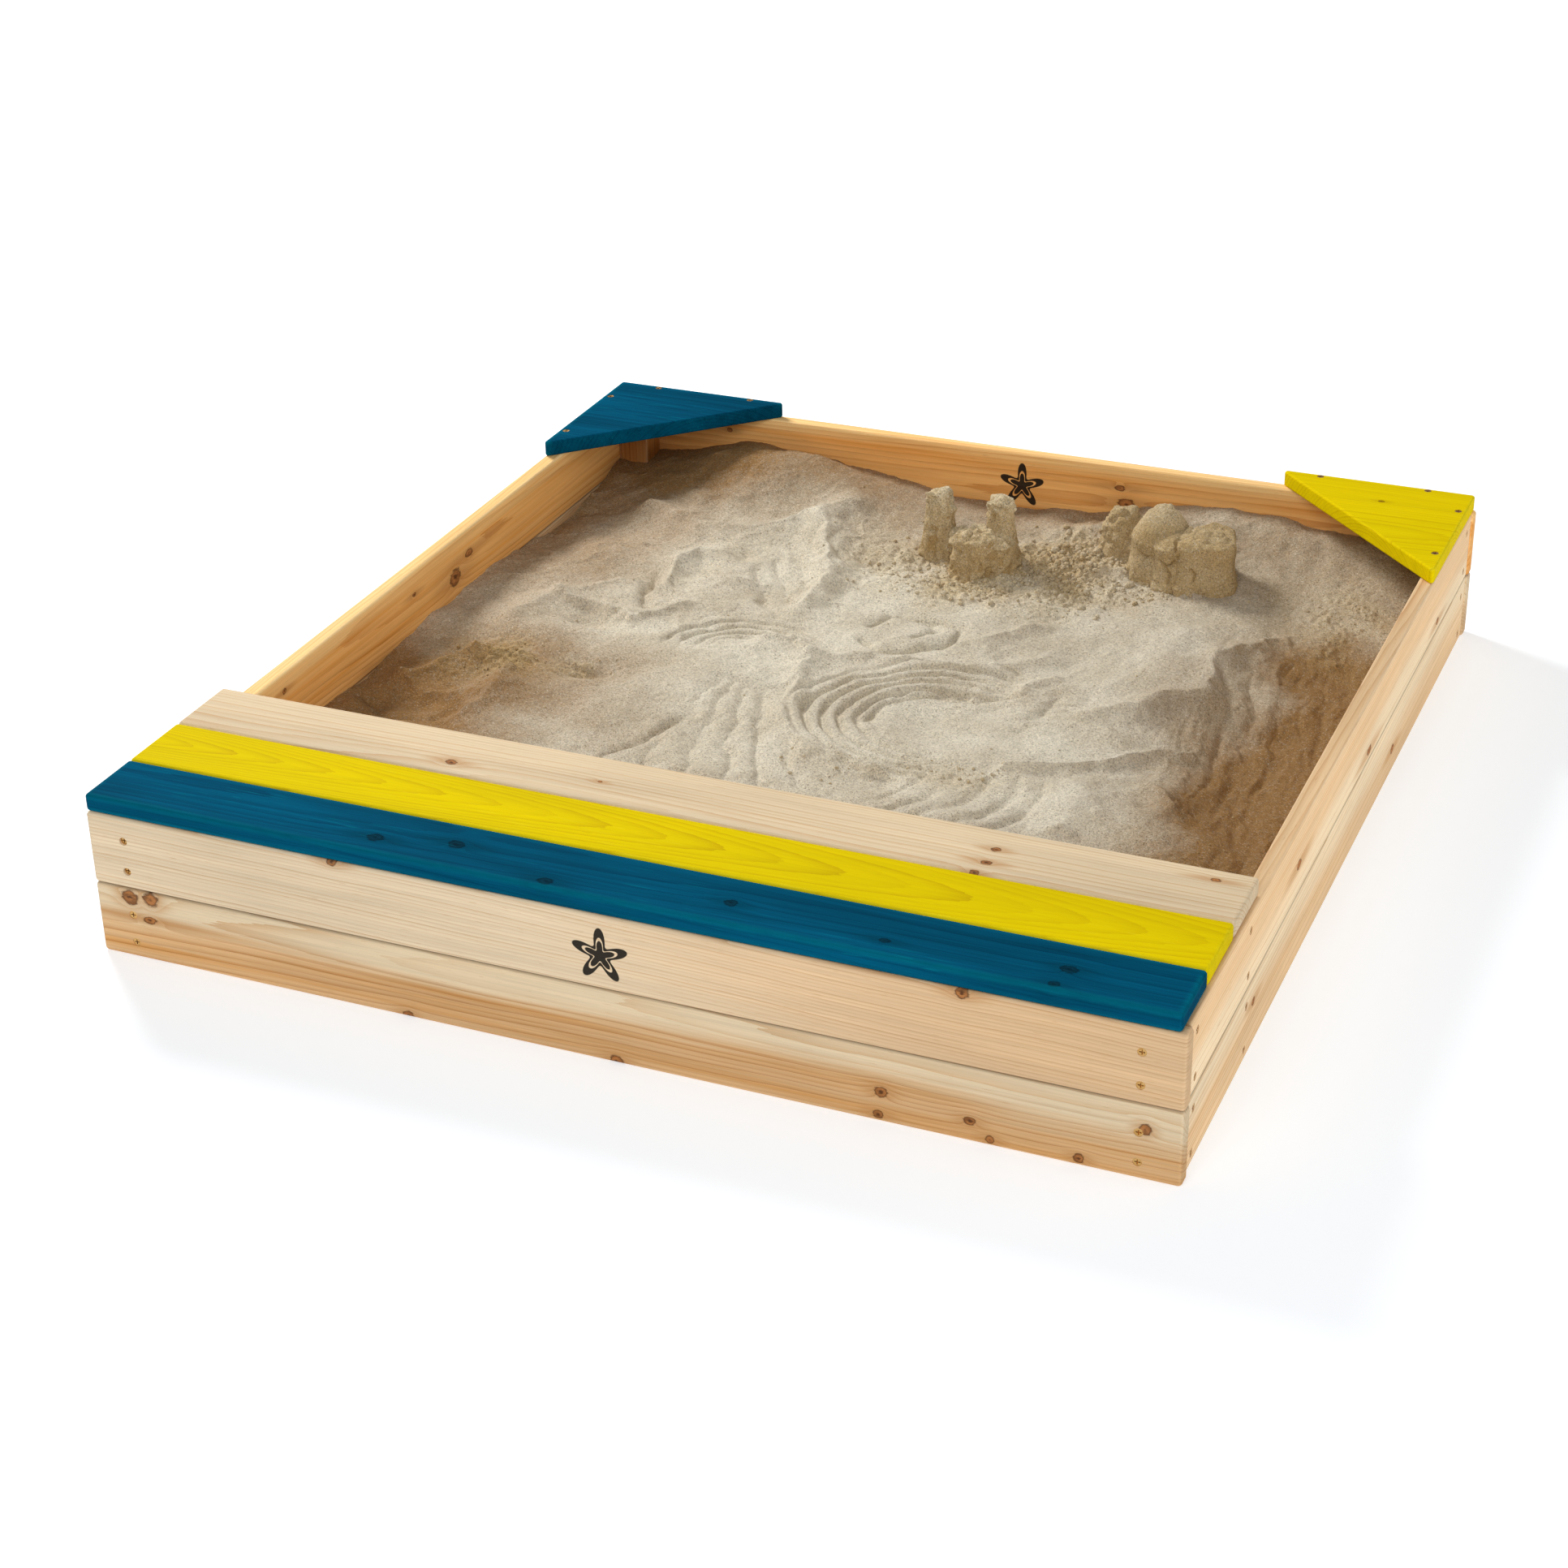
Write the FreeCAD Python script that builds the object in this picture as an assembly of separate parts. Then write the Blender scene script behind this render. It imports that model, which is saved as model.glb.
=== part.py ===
import FreeCAD, Part
import os

from FreeCAD import Vector

# A low wooden sandpit that children sit around. Two courses of boards make each wall, three slats
# make a bench at the front that is the hinged lid of a toy box, and a triangular seat closes each
# rear corner. Millimetres, +Z up, origin on the ground under the centre of the box; the bench is
# at the front, towards -Y.

# Walls
box_width = 1180.0          # length of the front and back boards
box_depth = 1290.0          # outer face of the front board to outer face of the back board
board_height = 83.5
board_thickness = 19.0
wall_height = 2 * board_height
end_round = 4.5             # on every edge of the front and back boards, whose ends show
wall_edge_round = 3.0       # on the long edges of the side and partition boards
side_inset = 3.0            # the side boards stand this far in from the ends of the front board

# Posts, all of one stock, and the partition between toy box and sand
post_size = 42.0
post_foot = 2.0             # posts and partition stand clear of the ground sheet's folds
post_top_drop = 2.0         # and stop short of the wall's top edge
arris_round = 2.0           # on the long edges of posts and battens
partition_board_height = 82.0
partition_end_gap = 1.0
partition_rear = 267.0      # from the outer face of the front board to the partition's sand side

# Lid, which is also the bench
lid_clearance = 0.5
lid_length = 1172.0
lid_shift = -3.0            # the slats sit slightly left of the middle of the walls
slat_thickness = 20.0
slat_gap = 1.0
slat_widths = {"front": 83.0, "middle": 90.0, "rear": 91.0}
slat_round = 4.0
batten_width = 40.0
batten_thickness = 18.0
batten_front = 30.0         # from the outer face of the front board
batten_rear = 236.0
batten_places = {"left": -450.0, "centre": 0.0, "right": 450.0}

# Corner seats
seat_leg = 246.0            # to the sharp point that each tip is rounded from
seat_setback = 3.0          # from the outer faces of the walls' corner
seat_round = 3.0
seat_tip_round = 4.0

# Butt hinges on the sand side of the partition
hinge_places = {"left": -300.0, "right": 300.0}
hinge_length = 60.0
leaf_height = 16.0
leaf_thickness = 1.5
knuckle_count = 5
knuckle_radius = 3.0
knuckle_gap = 0.3
knuckle_stand_off = 0.3     # between the turning knuckles and the wood behind them
pin_radius = 1.25
pin_clearance = 0.05
pin_head_radius = 2.0
pin_head_height = 0.8
leaf_corner_round = 2.2
leaf_screw_height = 10.3    # of the screw row from the pin's axis
leaf_screw_margin = 9.0     # of the outer screws from the leaf's ends

# Screws: head radius, shank radius, overall length
wood_screw = {"head": 4.6, "shank": 2.0, "length": 40.0}
batten_screw = {"head": 4.0, "shank": 1.9, "length": 30.0}
hinge_screw = {"head": 2.9, "shank": 1.4, "length": 15.0}
screw_sink = 0.4            # heads sit a little below the wood
deep_sink = 2.6             # but the two upper left ones in the front wall are driven deeper
screw_rim = 0.4             # height of the head's straight edge
recess_shares = (0.62, 0.12, 0.45)  # cross recess: reach, half width and depth, per head radius
front_screw_heights = (19.0, 52.0, 104.0, 140.0)
side_screw_heights = (13.5, 64.0, 99.0, 150.0)
partition_screw_heights = (22.0, 66.0, 102.0, 146.0)
seat_screw_places = (58.0, 194.0)   # along each leg, from the right-angled corner

# Sand and the sheet below it
sheet_thickness = 0.8
sheet_margin = 1.0          # all round, inside the walls
sand_height = 92.0          # level of the raked-out sand
cast_round = 5.0            # the moulded shapes have slumped edges
# Moulded towers: centre x and y, radius at the foot and at the top, height above the sand
castle_towers = ((-45.0, 437.0, 20.0, 15.5, 95.0), (45.0, 438.0, 24.0, 17.0, 94.0),
                 (18.0, 398.0, 27.0, 23.0, 60.0))
mound_lumps = ((168.0, 522.0, 34.0, 24.0, 62.0), (236.0, 482.0, 42.0, 28.0, 84.0),
               (300.0, 472.0, 38.0, 28.0, 62.0))
castle_foot = (4.0, 424.0, 74.0, 62.0, 12.0)
mound_foot = (238.0, 490.0, 98.0, 84.0, 10.0)

wall_top = wall_height
front_face = -box_depth / 2
back_face = box_depth / 2
side_face = box_width / 2 - side_inset
inner_side = side_face - board_thickness
inner_front = front_face + board_thickness
inner_back = back_face - board_thickness
partition_back = front_face + partition_rear
partition_front = partition_back - board_thickness
lid_bottom = wall_top + lid_clearance
lid_top = lid_bottom + slat_thickness
post_line = inner_side - post_size / 2
front_post_row = inner_front + post_size / 2
middle_post_row = partition_front - post_size / 2
back_post_row = inner_back - post_size / 2
hinge_axis_y = partition_back + knuckle_stand_off + knuckle_radius
hinge_axis_z = wall_top + lid_clearance / 2
overlap = 1.0               # lets a cutting tool start outside the wood


def block(low, high):
    """A plain box between two opposite corners."""
    size = [b - a for a, b in zip(low, high)]
    return Part.makeBox(size[0], size[1], size[2], Vector(*low))


def rounded_block(low, high, radius, axes):
    """A box with the edges that run along the named axes rounded."""
    shape = block(low, high)
    edges = []
    for edge in shape.Edges:
        along = edge.tangentAt(edge.FirstParameter)
        if any(abs(along[axis]) > 0.9 for axis in axes):
            edges.append(edge)
    return shape.makeFillet(radius, edges)


def screw_body(screw, top):
    """A countersunk screw without its recess, its head level with z = 0 and carried up to top."""
    head, shank, length = screw["head"], screw["shank"], screw["length"]
    neck = -screw_rim - (head - shank)
    points = [(0, top), (head, top), (head, -screw_rim), (shank, neck),
              (shank, -length + 2 * shank), (0, -length), (0, top)]
    section = Part.Face(Part.makePolygon([Vector(x, 0, z) for x, z in points]))
    return section.revolve(Vector(), Vector(0, 0, 1), 360)


def aimed(shape, point, direction):
    """Turn a shape made along -Z to drive along direction, with its head at point."""
    turn = FreeCAD.Rotation(Vector(0, 0, -1), direction)
    shape.Placement = FreeCAD.Placement(point, turn)
    return shape


def drive(screw, point, direction, sink=screw_sink):
    """A screw and the bore it needs; the head sits this far under the surface at point."""
    seat = point + direction * sink
    turned = screw_body(screw, 0)
    reach, half_width, depth = [screw["head"] * share for share in recess_shares]
    for along, across in ((reach, half_width), (half_width, reach)):
        turned = turned.cut(block((-along, -across, -depth), (along, across, overlap)))
    bore = screw_body(screw, sink + overlap)
    return aimed(turned, seat, direction), aimed(bore, seat, direction)


def wall_boards():
    """Two courses on each side; front and back boards cover the ends of the side boards."""
    boards = {}
    for course, base in (("lower", 0.0), ("upper", board_height)):
        top = base + board_height
        half = box_width / 2
        spans = {
            "front": ((-half, front_face), (half, inner_front), end_round, (0, 1, 2)),
            "back": ((-half, inner_back), (half, back_face), end_round, (0, 1, 2)),
            "left": ((-side_face, inner_front), (-inner_side, inner_back), wall_edge_round, (1,)),
            "right": ((inner_side, inner_front), (side_face, inner_back), wall_edge_round, (1,)),
        }
        for side, (low, high, radius, axes) in spans.items():
            shape = rounded_block((*low, base), (*high, top), radius, axes)
            boards[f"{side}_board_{course}"] = shape
    return boards


def posts():
    """Square posts in the four corners and at the ends of the partition."""
    shapes = {}
    rows = {"corner_post_front": front_post_row, "partition_post": middle_post_row,
            "corner_post_back": back_post_row}
    half = post_size / 2
    for name, row in rows.items():
        for side, sign in (("left", -1), ("right", 1)):
            centre = sign * post_line
            shapes[f"{name}_{side}"] = rounded_block(
                (centre - half, row - half, post_foot),
                (centre + half, row + half, wall_top - post_top_drop), arris_round, (2,))
    return shapes


def partition_boards():
    """Two courses across the box, between the toy box and the sand."""
    boards = {}
    reach = inner_side - partition_end_gap
    for course, base in (("lower", post_foot), ("upper", post_foot + partition_board_height)):
        boards[f"partition_board_{course}"] = rounded_block(
            (-reach, partition_front, base), (reach, partition_back, base + partition_board_height),
            wall_edge_round, (0,))
    return boards


def lid_slats():
    """Three slats side by side, all edges well rounded; the front one is over the front wall."""
    slats = {}
    near = partition_back - sum(slat_widths.values()) - 2 * slat_gap
    for place, width in slat_widths.items():
        slats[f"lid_slat_{place}"] = rounded_block(
            (lid_shift - lid_length / 2, near, lid_bottom),
            (lid_shift + lid_length / 2, near + width, lid_top), slat_round, (0, 1, 2))
        near += width + slat_gap
    return slats


def lid_battens():
    """Cross battens that hold the slats together, clear of the walls when the lid swings."""
    battens = {}
    for place, centre in batten_places.items():
        battens[f"lid_batten_{place}"] = rounded_block(
            (centre - batten_width / 2, front_face + batten_front, lid_bottom - batten_thickness),
            (centre + batten_width / 2, front_face + batten_rear, lid_bottom), arris_round, (2,))
    return battens


def corner_seat(sign):
    """Right-angled triangle over a rear corner, its acute tips and its edges eased."""
    corner = Vector(sign * (box_width / 2 - seat_setback), back_face - seat_setback, wall_top)
    along_back = corner + Vector(-sign * seat_leg, 0, 0)
    along_side = corner + Vector(0, -seat_leg, 0)
    outline = Part.Face(Part.makePolygon([corner, along_back, along_side, corner]))
    seat = outline.extrude(Vector(0, 0, slat_thickness))
    upright = [e for e in seat.Edges if abs(e.tangentAt(e.FirstParameter).z) > 0.9]
    seat = seat.makeFillet(seat_tip_round, upright)
    faces = [f for f in seat.Faces if abs(f.normalAt(0, 0).z) > 0.9]
    rims = [e for f in faces for e in f.Edges]
    return seat.makeFillet(seat_round, rims)


def knuckle_spans(middle):
    """X spans of the knuckles of one hinge, shared in turn by the fixed and the moving leaf."""
    pitch = hinge_length / knuckle_count
    start = middle - hinge_length / 2
    spans = []
    for index in range(knuckle_count):
        left = start + index * pitch
        spans.append((left + knuckle_gap / 2, left + pitch - knuckle_gap / 2))
    return spans


def hinge_leaf(middle, upward, spans):
    """Flat leaf with its knuckles; upward is 1 for the lid's leaf, -1 for the fixed one."""
    half = hinge_length / 2
    root = hinge_axis_z + upward * (knuckle_radius + knuckle_stand_off)
    end = hinge_axis_z + upward * leaf_height
    rear = partition_back + leaf_thickness
    plate = rounded_block((middle - half, partition_back, min(root, end)),
                          (middle + half, rear, max(root, end)), leaf_corner_round, (1,))
    leaf = plate
    blend = root + upward * leaf_corner_round
    for left, right in spans:
        bridge = block((left, partition_back, min(hinge_axis_z, blend)),
                       (right, rear, max(hinge_axis_z, blend)))
        barrel = Part.makeCylinder(knuckle_radius, right - left,
                                   Vector(left, hinge_axis_y, hinge_axis_z), Vector(1, 0, 0))
        leaf = leaf.fuse(bridge).fuse(barrel)
    bore = Part.makeCylinder(pin_radius + pin_clearance, hinge_length + 2 * overlap,
                             Vector(middle - half - overlap, hinge_axis_y, hinge_axis_z),
                             Vector(1, 0, 0))
    return leaf.cut(bore).removeSplitter()


def hinge_pin(middle):
    """Pin through all the knuckles, headed at both ends."""
    half = hinge_length / 2
    along = Vector(1, 0, 0)
    left = Vector(middle - half, hinge_axis_y, hinge_axis_z)
    pin = Part.makeCylinder(pin_radius, hinge_length, left, along)
    for start in (middle - half - pin_head_height, middle + half):
        head = Part.makeCylinder(pin_head_radius, pin_head_height,
                                 Vector(start, hinge_axis_y, hinge_axis_z), along)
        pin = pin.fuse(head)
    return pin.removeSplitter()


def hinges():
    """Fixed leaf, moving leaf and pin of each hinge."""
    shapes = {}
    for place, middle in hinge_places.items():
        spans = knuckle_spans(middle)
        shapes[f"hinge_{place}_fixed_leaf"] = hinge_leaf(middle, -1, spans[0::2])
        shapes[f"hinge_{place}_moving_leaf"] = hinge_leaf(middle, 1, spans[1::2])
        shapes[f"hinge_{place}_pin"] = hinge_pin(middle)
    return shapes


def screw_places():
    """Every screw by group: its size, the point its head is sunk at and its direction."""
    to_back, to_front = Vector(0, 1, 0), Vector(0, -1, 0)
    upward, downward = Vector(0, 0, 1), Vector(0, 0, -1)
    groups = {}
    for group, face, direction in (("front_wall_screws", front_face, to_back),
                                   ("back_wall_screws", back_face, to_front),
                                   ("partition_screws", partition_back, to_front)):
        heights = partition_screw_heights if group == "partition_screws" else front_screw_heights
        groups[group] = [(wood_screw, Vector(sign * post_line, face, height), direction)
                         for sign in (-1, 1) for height in heights]
    upper_left = [index for index, (_, point, _) in enumerate(groups["front_wall_screws"])
                  if point.x < 0 and point.z > board_height]
    for index in upper_left:
        groups["front_wall_screws"][index] += (deep_sink,)
    for side, sign in (("left", -1), ("right", 1)):
        groups[f"{side}_wall_screws"] = [
            (wood_screw, Vector(sign * side_face, row, height), Vector(-sign, 0, 0))
            for row in (front_post_row, middle_post_row, back_post_row)
            for height in side_screw_heights]
    corner_x = box_width / 2 - seat_setback
    corner_y = back_face - seat_setback
    seat_top = wall_top + slat_thickness
    groups["corner_seat_screws"] = [
        (wood_screw, Vector(sign * x, y, seat_top), downward)
        for sign in (-1, 1)
        for place in seat_screw_places
        for x, y in ((corner_x - place, back_face - board_thickness / 2),
                     (side_face - board_thickness / 2, corner_y - place))]
    groups["lid_batten_screws"] = lid_batten_screws(upward)
    for group, rise, direction in (("hinge_fixed_screws", -1, to_front),
                                   ("hinge_moving_screws", 1, to_front)):
        height = hinge_axis_z + rise * leaf_screw_height
        outer = hinge_length / 2 - leaf_screw_margin
        groups[group] = [
            (hinge_screw, Vector(middle + shift, partition_back + leaf_thickness, height), direction)
            for middle in hinge_places.values()
            for shift in (-outer, 0, outer)]
    return groups


def lid_batten_screws(upward):
    """Two screws up through each batten into each slat, set diagonally."""
    places = []
    under = lid_bottom - batten_thickness
    near = partition_back - sum(slat_widths.values()) - 2 * slat_gap
    for width in slat_widths.values():
        first = max(near, front_face + batten_front)
        last = min(near + width, front_face + batten_rear)
        for centre in batten_places.values():
            for sign in (-1, 1):
                y = (first + last) / 2 + sign * (last - first) / 4
                x = centre + sign * batten_width / 4
                places.append((batten_screw, Vector(x, y, under), upward))
        near += width + slat_gap
    return places


def ground_sheet():
    """Woven sheet laid on the ground inside the walls, under the posts, partition and sand."""
    reach_x = inner_side - sheet_margin
    return block((-reach_x, inner_front + sheet_margin, 0),
                 (reach_x, inner_back - sheet_margin, sheet_thickness))


def sand_bed():
    """Raked-out sand from partition to back wall, around the two rear posts."""
    bed = block((-inner_side, partition_back, sheet_thickness),
                (inner_side, inner_back, sand_height))
    half = post_size / 2
    for sign in (-1, 1):
        centre = sign * post_line
        corner = block((centre - half - (overlap if sign < 0 else 0), back_post_row - half, 0),
                       (centre + half + (overlap if sign > 0 else 0), inner_back + overlap,
                        wall_top))
        bed = bed.cut(corner)
    return bed


def sand_casts(foot, towers):
    """Moulded towers of damp sand that stand in one low spread foot."""
    shape = None
    for x, y, wide, narrow, height in (foot, *towers):
        place = Vector(x, y, sand_height)
        cast = Part.makeCone(wide, narrow, height, place)
        rim = [e for e in cast.Edges if e.BoundBox.ZMin > sand_height + height - overlap]
        cast = cast.makeFillet(cast_round, rim)
        shape = cast if shape is None else shape.fuse(cast)
    return shape.removeSplitter()


def drilled(shape, bores):
    """Cut every bore that reaches a wooden or metal piece."""
    for bore in bores:
        if shape.BoundBox.intersect(bore.BoundBox):
            shape = shape.cut(bore)
    return shape


def build():
    """All pieces by name."""
    pieces = {}
    pieces.update(wall_boards())
    pieces.update(posts())
    pieces.update(partition_boards())
    pieces.update(lid_slats())
    pieces.update(lid_battens())
    pieces["corner_seat_left"] = corner_seat(-1)
    pieces["corner_seat_right"] = corner_seat(1)
    pieces.update(hinges())
    fasteners, bores = {}, []
    for group, places in screw_places().items():
        driven = [drive(*place) for place in places]
        fasteners[group] = Part.makeCompound([screw for screw, _ in driven])
        bores += [bore for _, bore in driven]
    for name, shape in pieces.items():
        pieces[name] = drilled(shape, bores)
    pieces.update(fasteners)
    pieces["ground_sheet"] = ground_sheet()
    pieces["sand_bed"] = sand_bed()
    pieces["sand_castle"] = sand_casts(castle_foot, castle_towers)
    pieces["sand_mound"] = sand_casts(mound_foot, mound_lumps)
    return pieces


os.makedirs("parts", exist_ok=True)
for node, solid in build().items():
    solid.exportStep(f"parts/{node}.step")
    print(f"{node}: {len(solid.Solids)} solid(s), valid {solid.isValid()}, {solid.Volume:.0f} mm3")
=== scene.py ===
from math import pi, radians
import bpy
import numpy as np
from mathutils import Matrix, Vector


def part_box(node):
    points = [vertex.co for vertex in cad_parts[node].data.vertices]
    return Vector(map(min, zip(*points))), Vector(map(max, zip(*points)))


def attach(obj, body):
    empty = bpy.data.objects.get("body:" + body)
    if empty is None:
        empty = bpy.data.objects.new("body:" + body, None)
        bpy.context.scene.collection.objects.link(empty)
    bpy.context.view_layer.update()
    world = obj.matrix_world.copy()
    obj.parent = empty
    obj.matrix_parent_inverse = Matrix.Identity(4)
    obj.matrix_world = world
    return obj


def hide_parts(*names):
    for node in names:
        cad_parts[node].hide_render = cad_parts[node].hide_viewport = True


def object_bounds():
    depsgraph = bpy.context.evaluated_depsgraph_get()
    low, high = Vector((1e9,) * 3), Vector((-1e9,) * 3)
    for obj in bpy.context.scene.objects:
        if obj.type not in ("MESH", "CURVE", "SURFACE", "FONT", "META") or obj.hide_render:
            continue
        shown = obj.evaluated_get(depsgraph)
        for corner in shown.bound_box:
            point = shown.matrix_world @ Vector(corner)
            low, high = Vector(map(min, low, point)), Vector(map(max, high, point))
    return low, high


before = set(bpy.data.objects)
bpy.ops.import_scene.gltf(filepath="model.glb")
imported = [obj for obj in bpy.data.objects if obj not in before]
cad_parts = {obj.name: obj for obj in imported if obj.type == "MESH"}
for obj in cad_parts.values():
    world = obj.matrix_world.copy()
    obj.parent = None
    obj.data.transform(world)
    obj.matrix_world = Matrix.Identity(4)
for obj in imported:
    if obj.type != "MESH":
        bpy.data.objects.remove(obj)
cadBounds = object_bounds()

print("sandbox: frame loaded,", len(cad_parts), "parts")
mm = 0.001
scene = bpy.context.scene


# helpers for shader nodes; they add to the tree that work holds

work = {"tree": None}


class Value:
    # a number in the node tree; arithmetic between two of them adds a Math node
    def __init__(self, socket):
        self.socket = socket

    def __add__(self, other):
        return calc("ADD", self, other)

    def __sub__(self, other):
        return calc("SUBTRACT", self, other)

    def __rsub__(self, other):
        return calc("SUBTRACT", other, self)

    def __mul__(self, other):
        return calc("MULTIPLY", self, other)

    def __truediv__(self, other):
        return calc("DIVIDE", self, other)

    def __rtruediv__(self, other):
        return calc("DIVIDE", other, self)


def newMaterial(name):
    # the material and its shader's inputs; the helpers then work on its tree
    material = bpy.data.materials.new(name)
    material.use_nodes = True
    work["tree"] = material.node_tree
    return material, material.node_tree.nodes["Principled BSDF"].inputs


def plug(value, socket):
    if isinstance(value, Value):
        value = value.socket
    if isinstance(value, bpy.types.NodeSocket):
        work["tree"].links.new(value, socket)
    elif isinstance(value, (tuple, list)) and socket.type == "RGBA":
        socket.default_value = (*value[:3], 1.0)
    else:
        socket.default_value = value


def addNode(kind, inputs, **settings):
    node = work["tree"].nodes.new("ShaderNode" + kind)
    for name, value in settings.items():
        setattr(node, name, value)
    for name, value in inputs.items():
        plug(value, node.inputs[name])
    return node


def calc(operation, *values, clamp=False):
    node = addNode("Math", {}, operation=operation, use_clamp=clamp)
    for place, value in enumerate(values):
        plug(value, node.inputs[place])
    return Value(node.outputs[0])


def vectorCalc(operation, first, second=None):
    node = addNode("VectorMath", {}, operation=operation)
    plug(first, node.inputs[0])
    if second is not None:
        plug(second, node.inputs[1])
    return Value(node.outputs["Value" if operation == "LENGTH" else "Vector"])


def objectPlace():
    return addNode("TexCoord", {}).outputs["Object"]


def split(kind, whole):
    # the three parts of a vector (XYZ) or of a colour (Color)
    return [Value(part) for part in addNode("Separate" + kind, {0: whole}).outputs]


def step(value, low, high, first=0.0, last=1.0):
    # a smooth rise from first to last as value goes from low to high
    node = addNode("MapRange", {"Value": value, "From Min": low, "From Max": high,
                                "To Min": first, "To Max": last}, interpolation_type="SMOOTHSTEP")
    return Value(node.outputs["Result"])


def mixColour(share, first, second, how="MIX"):
    node = addNode("Mix", {}, data_type="RGBA", blend_type=how)
    for place, value in ((0, share), (6, first), (7, second)):
        plug(value, node.inputs[place])
    return node.outputs[2]


def grainNoise(vector, scale, offset, detail=2.0, roughness=0.5):
    # noise on a stretched copy of the vector, shifted by offset so that no two boards match
    shifted = addNode("Mapping", {"Vector": vector, "Scale": scale, "Location": offset})
    noise = addNode("TexNoise", {"Vector": shifted.outputs[0], "Scale": 1.0,
                                 "Detail": detail, "Roughness": roughness})
    return Value(noise.outputs["Fac"])


def tint(colour, factor):
    # colour times a grey factor
    grey = addNode("CombineColor", {"Red": factor, "Green": factor, "Blue": factor})
    return mixColour(1.0, colour, grey.outputs[0], "MULTIPLY")


def roughen(look, height, depth, strength):
    bump = addNode("Bump", {"Height": height, "Distance": depth, "Strength": strength})
    plug(bump.outputs["Normal"], look["Normal"])


# wood: a log of rings cut into boards

finishes = {
    "natural_wood": {
        "sap": (0.80, 0.640, 0.425), "sapLate": (0.64, 0.400, 0.200),
        "heart": (0.66, 0.335, 0.105), "heartLate": (0.42, 0.150, 0.026),
        "knot": (0.080, 0.026, 0.010), "knotHeart": (0.44, 0.170, 0.050),
        "halo": (0.50, 0.245, 0.085), "worn": (0.86, 0.72, 0.52), "wear": 0.25,
        "rub": 0.0052, "scratch": 0.0,
        "lines": 0.95, "fibre": 0.17, "blotch": 0.18, "roughness": 0.74, "gloss": 0.05,
        "end": 0.80},
    "blue_stained_wood": {
        "sap": (0.001, 0.081, 0.155), "sapLate": (0.0004, 0.038, 0.085),
        "heart": (0.001, 0.070, 0.135), "heartLate": (0.0004, 0.032, 0.070),
        "knot": (0.002, 0.016, 0.028), "knotHeart": (0.003, 0.034, 0.056),
        "halo": (0.001, 0.045, 0.080), "worn": (0.001, 0.175, 0.240), "wear": 0.50,
        "rub": 0.0100, "scratch": 0.5,
        "lines": 0.70, "fibre": 0.36, "blotch": 0.45, "roughness": 0.80,
        "gloss": 0.006, "end": 0.72},
    "yellow_stained_wood": {
        "sap": (0.76, 0.590, 0.001), "sapLate": (0.58, 0.385, 0.001),
        "heart": (0.72, 0.530, 0.001), "heartLate": (0.53, 0.330, 0.001),
        "knot": (0.13, 0.055, 0.003), "knotHeart": (0.42, 0.25, 0.004),
        "halo": (0.52, 0.33, 0.003), "worn": (0.88, 0.77, 0.03), "wear": 0.5,
        "rub": 0.0060, "scratch": 0.25,
        "lines": 0.85, "fibre": 0.10, "blotch": 0.14, "roughness": 0.76,
        "gloss": 0.012, "end": 0.84},
}

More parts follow.
